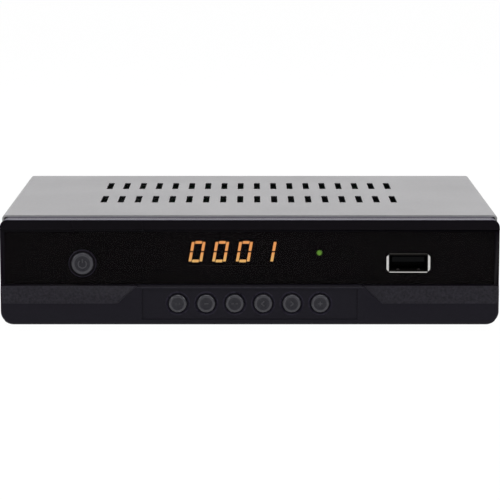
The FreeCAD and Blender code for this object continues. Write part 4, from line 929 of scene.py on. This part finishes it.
# Bars of a digit: place across and up from the digit's middle, then width and height.
DIGIT_BARS = {
    "top": (0, 3.18, 2.25, 0.92),
    "top_left": (-1.83, 1.78, 0.94, 3.1),
    "top_right": (1.83, 1.78, 0.94, 3.1),
    "middle": (0, 0, 2.25, 0.86),
    "low_left": (-1.83, -1.78, 0.94, 3.1),
    "low_right": (1.83, -1.78, 0.94, 3.1),
    "bottom": (0, -3.18, 2.25, 0.92),
}
LEAN = math.tan(math.radians(10))
DIGIT_PITCH = 8


def add_digits(name, lit):
    """The lit or the dark bars of the display, which reads 0001 and leans to the right."""
    x, z = centre_of("display_module")
    front, rear = (corner.y for corner in millimetres("display_lit_bars"))
    bars = []
    for bar, (across, up, width, height) in DIGIT_BARS.items():
        if bar == "middle":
            places = () if lit else (0, 1, 2, 3)
        elif bar.endswith("right"):
            places = (0, 1, 2, 3) if lit else ()
        else:
            places = (0, 1, 2) if lit else (3,)
        if not places:
            continue
        foot = z + up - height / 2
        shift = x + across + LEAN * (foot - z)
        master = add_block(
            name, (shift - width / 2, shift + width / 2), (front, rear), (foot, foot + height)
        )
        pick(master, "FACE", lambda centre, normal: normal.z > 0.9)
        bpy.ops.transform.translate(value=(LEAN * height * MM, 0, 0))
        object_mode()
        break_edges(master, 0.06, 1)
        bars += copies(master, [(DIGIT_PITCH * (place - 1.5), 0, 0) for place in places])
    return gather(name, bars)


class RECEIVER_OT_display(Operator):
    """Display, status lamp and remote control receiver behind the window"""

    bl_idname = "receiver.display"
    bl_label = "Display"

    def execute(self, context):
        dress(["display_module"], "display_abs", 0.2)
        lit = add_digits("lit_digits", True)
        complete(lit, "lit_amber_resin", ["display_lit_bars"])
        dark = add_digits("dark_digits", False)
        complete(dark, "dark_resin", ["display_dark_bars"])
        dress(["status_lamp"], "lit_green_epoxy", 0.0)
        dress(["remote_receiver"], "infrared_epoxy", 0.2)
        return {"FINISHED"}


# Mouth of the front socket's shell. It tapers inwards, with thin lips above and below and broad
# ones at the sides: half width and half height in front and inside, and how much higher the front
# sits.
MOUTH, THROAT, MOUTH_LIFT = (6.82, 3.325), (6.2, 2.5), 0.115
# The two springs in the shell's floor: places across and half width.
SPRINGS, SPRING_HALF = (-3.5, 3.5), 0.6


class RECEIVER_OT_front_socket(Operator):
    """Front socket: plated shell with a flared lip, tongue and contacts"""

    bl_idname = "receiver.front_socket"
    bl_label = "Front Socket"

    def execute(self, context):
        low, high = millimetres("usb_shell")
        piece = merged_copy("flared_shell", "usb_shell")
        x, z = centre_of("usb_shell")
        wide, rise = MOUTH
        start, end, middle = low.y - 0.3, low.y + 0.55, z + MOUTH_LIFT
        mouth = add_block(
            "mouth_tool", (x - wide, x + wide), (start, end), (middle - rise, middle + rise)
        )
        pick(mouth, "FACE", lambda centre, normal: normal.y > 0.9)
        bpy.ops.transform.resize(
            value=(THROAT[0] / wide, 1, THROAT[1] / rise),
            center_override=(x * MM, end * MM, middle * MM),
        )
        bpy.ops.transform.translate(value=(0, 0, -MOUTH_LIFT * MM))
        object_mode()
        combine(piece, "DIFFERENCE", [mouth])
        springs = []
        for side in SPRINGS:
            spring = add_block(
                "spring", (x + side - SPRING_HALF, x + side + SPRING_HALF),
                (low.y + 0.7, low.y + 2.4), (z - 2.7, z - 2.05),
            )
            springs.append(break_edges(spring, 0.25, 3))
        combine(piece, "UNION", springs)
        break_edges(piece, 0.05, 2, 40)
        complete(piece, "plated_shell", ["usb_shell"])
        # Painted shade on the shell's inner walls and springs.
        paint_faces(piece, "dull_shell", lambda centre, normal: centre.y > low.y + 0.07)
        # Painted shade on the upper lip, darker than the plating, where the lip curls away from the
        # light.
        paint_faces(
            piece, "tarnished_lip",
            lambda centre, normal: centre.z > high.z - 0.3 and abs(centre.x - x) < THROAT[0],
        )
        dress(["usb_tongue"], "tongue_polymer", 0.15)
        dress(["usb_contacts"], "gold_flash", 0.04)
        return {"FINISHED"}


class RECEIVER_OT_tray(Operator):
    """Galvanised tray and its rubber feet"""

    bl_idname = "receiver.tray"
    bl_label = "Tray and Feet"

    def execute(self, context):
        dress(["chassis_tray"], "galvanised_steel", 0.1)
        feet = [f"foot_{end}_{side}" for end in ("front", "rear") for side in ("left", "right")]
        dress(feet, "moulded_rubber", 0.35)
        return {"FINISHED"}


# Studs: thread radii, bore, shoulder, and the plain length behind the tray's rear wall.
ROOT, CREST, BORE, SHOULDER = 4.25, 4.7, 3.4, 4.95
PLAIN_LENGTH, BORE_DEPTH = 2.3, 8.0
# The rear pieces: node, finish, broken edge and material slot.
REAR_PIECES = (
    ("stud_nuts", "zinc_plate", 0.25, "nut_plating"),
    ("stud_insulators", "natural_nylon", 0.12, "insulator_plastic"),
    ("tuner_can", "bright_tinplate", 0.15, "tinplate"),
    ("hdmi_shell", "plated_shell", 0.08, "socket_steel"),
    ("hdmi_tongue", "black_nylon", 0.12, "tongue_plastic"),
    ("scart_socket", "black_nylon", 0.15, "scart_plastic"),
    ("audio_socket", "orange_abs", 0.15, "audio_plastic"),
    ("audio_ring", "nickel_plate", 0.1, "ring_plating"),
    ("supply_socket", "black_nylon", 0.2, "supply_plastic"),
    ("supply_pin", "nickel_plate", 0.2, "stud_plating"),
)


class RECEIVER_OT_rear_sockets(Operator):
    """Threaded dish cable studs with nuts, and the video, audio and supply sockets"""

    bl_idname = "receiver.rear_sockets"
    bl_label = "Rear Sockets"

    def execute(self, context):
        pitch = context.scene.receiver_sizes.thread_pitch / MM
        for name in ("lnb_in", "loop_out"):
            low, high = millimetres(f"{name}_stud")
            x, z = centre_of(f"{name}_stud")
            plain_end = TRAY_HIGH.y + PLAIN_LENGTH
            rings = [(SHOULDER, low.y), (SHOULDER, plain_end - 0.2), (CREST, plain_end)]
            turns = int((high.y - plain_end - 0.4) / pitch)
            for turn in range(turns):
                start = plain_end + turn * pitch
                rings += [
                    (CREST, start + 0.12 * pitch), (ROOT, start + 0.45 * pitch),
                    (ROOT, start + 0.6 * pitch), (CREST, start + 0.93 * pitch),
                ]
            rings += [(CREST - 0.35, high.y)]
            piece = add_round(f"{name}_threaded_stud", rings, x, z, 64)
            bore = [(BORE, high.y - BORE_DEPTH), (BORE, high.y + PAST)]
            combine(piece, "DIFFERENCE", [add_round("bore_tool", bore, x, z, 64)])
            complete(piece, "nickel_plate", [f"{name}_stud"])
        for node, finish, width, slot in REAR_PIECES:
            dress([node], finish, width)
        return {"FINISHED"}


class RECEIVER_OT_boards(Operator):
    """Boards with their chips, coils, capacitors, heat sink and flat cable"""

    bl_idname = "receiver.boards"
    bl_label = "Boards"

    def execute(self, context):
        dress(["main_board", "front_board"], "solder_mask", 0.08)
        dress(["main_chip", "memory_chip"], "chip_epoxy", 0.12)
        dress(["heat_sink"], "anodised_aluminium", 0.1)
        dress(["capacitors"], "shrink_sleeve", 0.5)
        dress(["power_coils"], "sintered_ferrite", 0.5)
        dress(["ribbon_cable"], "polyester_film", 0.04)
        dress(["ribbon_sockets"], "natural_nylon", 0.2)
        return {"FINISHED"}


class RECEIVER_OT_screws(Operator):
    """Screws of the boards, the front and the cover"""

    bl_idname = "receiver.screws"
    bl_label = "Screws"

    def execute(self, context):
        dress(["small_screws"], "zinc_plate", 0.25)
        dress(["cover_screws"], "black_oxide", 0.35)
        return {"FINISHED"}


def studio_white():
    """Matt white paper of the floor and backdrop. Seen directly or in gloss it is the page's white,
    and the object's shadow still falls on it."""
    material, tree = blank_material("studio_white")
    path = add_node(tree, "ShaderNodeLightPath")
    seen = add_node(
        tree, "ShaderNodeMath", {0: (path, "Is Camera Ray"), 1: (path, "Is Glossy Ray")},
        operation="MAXIMUM",
    )
    seen = add_node(
        tree, "ShaderNodeMath", {0: (seen, "Value"), 1: (path, "Is Transmission Ray")},
        operation="MAXIMUM",
    )
    share = add_node(tree, "ShaderNodeMath", {0: (seen, "Value"), 1: 0.95}, operation="MULTIPLY")
    paper = add_node(tree, "ShaderNodeBsdfDiffuse", {"Color": (0.92, 0.92, 0.92, 1)})
    white = add_node(tree, "ShaderNodeEmission", {"Color": (1, 1, 1, 1), "Strength": 1.03})
    mix = add_node(tree, "ShaderNodeMixShader", {
        0: (share, "Value"), 1: (paper, "BSDF"), 2: (white, "Emission"),
    })
    add_node(tree, "ShaderNodeOutputMaterial", {"Surface": (mix, "Shader")})
    return material


# The floor in metres: width, length, and height of the backdrop that rises at its rear edge.
FLOOR_WIDTH, FLOOR_LENGTH, BACKDROP_HEIGHT = 5.0, 3.4, 2.5
# Where it lies, and the radius between floor and backdrop in millimetres.
FLOOR_PLACE, COVE = (0, 0.3, 0), 600
# Lamps: name, place, what they aim at, size in metres and power in watts.
SOFTBOXES = (
    ("softbox_above", (0.1, -0.12, 1.05), (0, 0, 0), 0.9, 6.6),
    ("softbox_front", (0.0, -1.05, 1.0), (0, 0, 0), 0.6, 1.6),
    ("softbox_left", (-1.0, -0.75, 0.75), (0, 0, 0.02), 0.4, 4.2),
    ("softbox_right", (1.0, -0.75, 0.75), (0, 0, 0.02), 0.4, 3.4),
)


class RECEIVER_OT_studio(Operator):
    """White floor and backdrop, soft lamps and the camera"""

    bl_idname = "receiver.studio"
    bl_label = "Studio"

    def execute(self, context):
        deselect()
        bpy.ops.mesh.primitive_plane_add(size=1, location=FLOOR_PLACE)
        floor = settle("studio_floor")
        pick(floor, "FACE", lambda centre, normal: True)
        bpy.ops.transform.resize(
            value=(FLOOR_WIDTH, FLOOR_LENGTH, 1), center_override=FLOOR_PLACE
        )
        object_mode()
        rear = max(v.co.y for v in floor.data.vertices) / MM

        def at_rear(a, b):
            return near(a.y, rear, 1) and near(b.y, rear, 1)

        pick(floor, "EDGE", at_rear)
        rise = (0, 0, BACKDROP_HEIGHT)
        bpy.ops.mesh.extrude_region_move(TRANSFORM_OT_translate={"value": rise})
        object_mode()
        bevel_edges(floor, COVE, 12, lambda a, b: at_rear(a, b) and a.z < 1 and b.z < 1)
        activate(floor)
        bpy.ops.object.shade_smooth()
        floor.data.materials.append(studio_white())

        world = bpy.data.worlds.new("studio_air")
        context.scene.world = world
        world.use_nodes = True
        world.node_tree.nodes.clear()
        tree = world.node_tree
        air = add_node(
            tree, "ShaderNodeBackground", {"Color": (0.9, 0.95, 1.0, 1), "Strength": 0.24}
        )
        add_node(tree, "ShaderNodeOutputWorld", {"Surface": (air, "Background")})

        for name, place, aim, size, power in SOFTBOXES:
            deselect()
            bpy.ops.object.light_add(type="AREA", location=place)
            lamp = context.object
            lamp.name = name
            lamp.data.size = size
            lamp.data.energy = power
            way = Vector(aim) - Vector(place)
            lamp.rotation_euler = way.to_track_quat("-Z", "Y").to_euler()

        view = context.scene.receiver_camera
        deselect()
        bpy.ops.object.camera_add(location=view.place, rotation=(math.pi / 2 - view.pitch, 0, 0))
        camera = context.object
        camera.data.sensor_width = 36
        camera.data.lens = view.lens
        camera.data.clip_start, camera.data.clip_end = 0.01, 20
        context.scene.camera = camera
        context.scene.view_settings.view_transform = "Standard"
        return {"FINISHED"}


STEPS = (
    RECEIVER_OT_front_moulding,
    RECEIVER_OT_window,
    RECEIVER_OT_cover,
    RECEIVER_OT_buttons,
    RECEIVER_OT_display,
    RECEIVER_OT_front_socket,
    RECEIVER_OT_tray,
    RECEIVER_OT_rear_sockets,
    RECEIVER_OT_boards,
    RECEIVER_OT_screws,
    RECEIVER_OT_studio,
)


class RECEIVER_PT_pieces(Panel):
    """Lists every piece's button, and the sizes and colours."""

    bl_label = "Receiver"
    bl_space_type = "VIEW_3D"
    bl_region_type = "UI"
    bl_category = "Receiver"

    def draw(self, context):
        layout = self.layout
        for step in STEPS:
            layout.operator(step.bl_idname)
        scene = context.scene
        for group in (scene.receiver_sizes, scene.receiver_looks, scene.receiver_camera):
            box = layout.box()
            for name in group.__annotations__:
                box.prop(group, name)


CLASSES = (ReceiverSizes, ReceiverLooks, ReceiverCamera, *STEPS, RECEIVER_PT_pieces)


def register():
    """Makes the classes and the scene's settings known."""
    for item in CLASSES:
        bpy.utils.register_class(item)
    bpy.types.Scene.receiver_sizes = PointerProperty(type=ReceiverSizes)
    bpy.types.Scene.receiver_looks = PointerProperty(type=ReceiverLooks)
    bpy.types.Scene.receiver_camera = PointerProperty(type=ReceiverCamera)


def unregister():
    """Takes back what register did."""
    del bpy.types.Scene.receiver_camera
    del bpy.types.Scene.receiver_looks
    del bpy.types.Scene.receiver_sizes
    for item in reversed(CLASSES):
        bpy.utils.unregister_class(item)


def main():
    """Makes every piece."""
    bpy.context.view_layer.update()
    register()
    for step in STEPS:
        group, name = step.bl_idname.split(".")
        getattr(getattr(bpy.ops, group), name)()


if __name__ == "__main__":
    main()
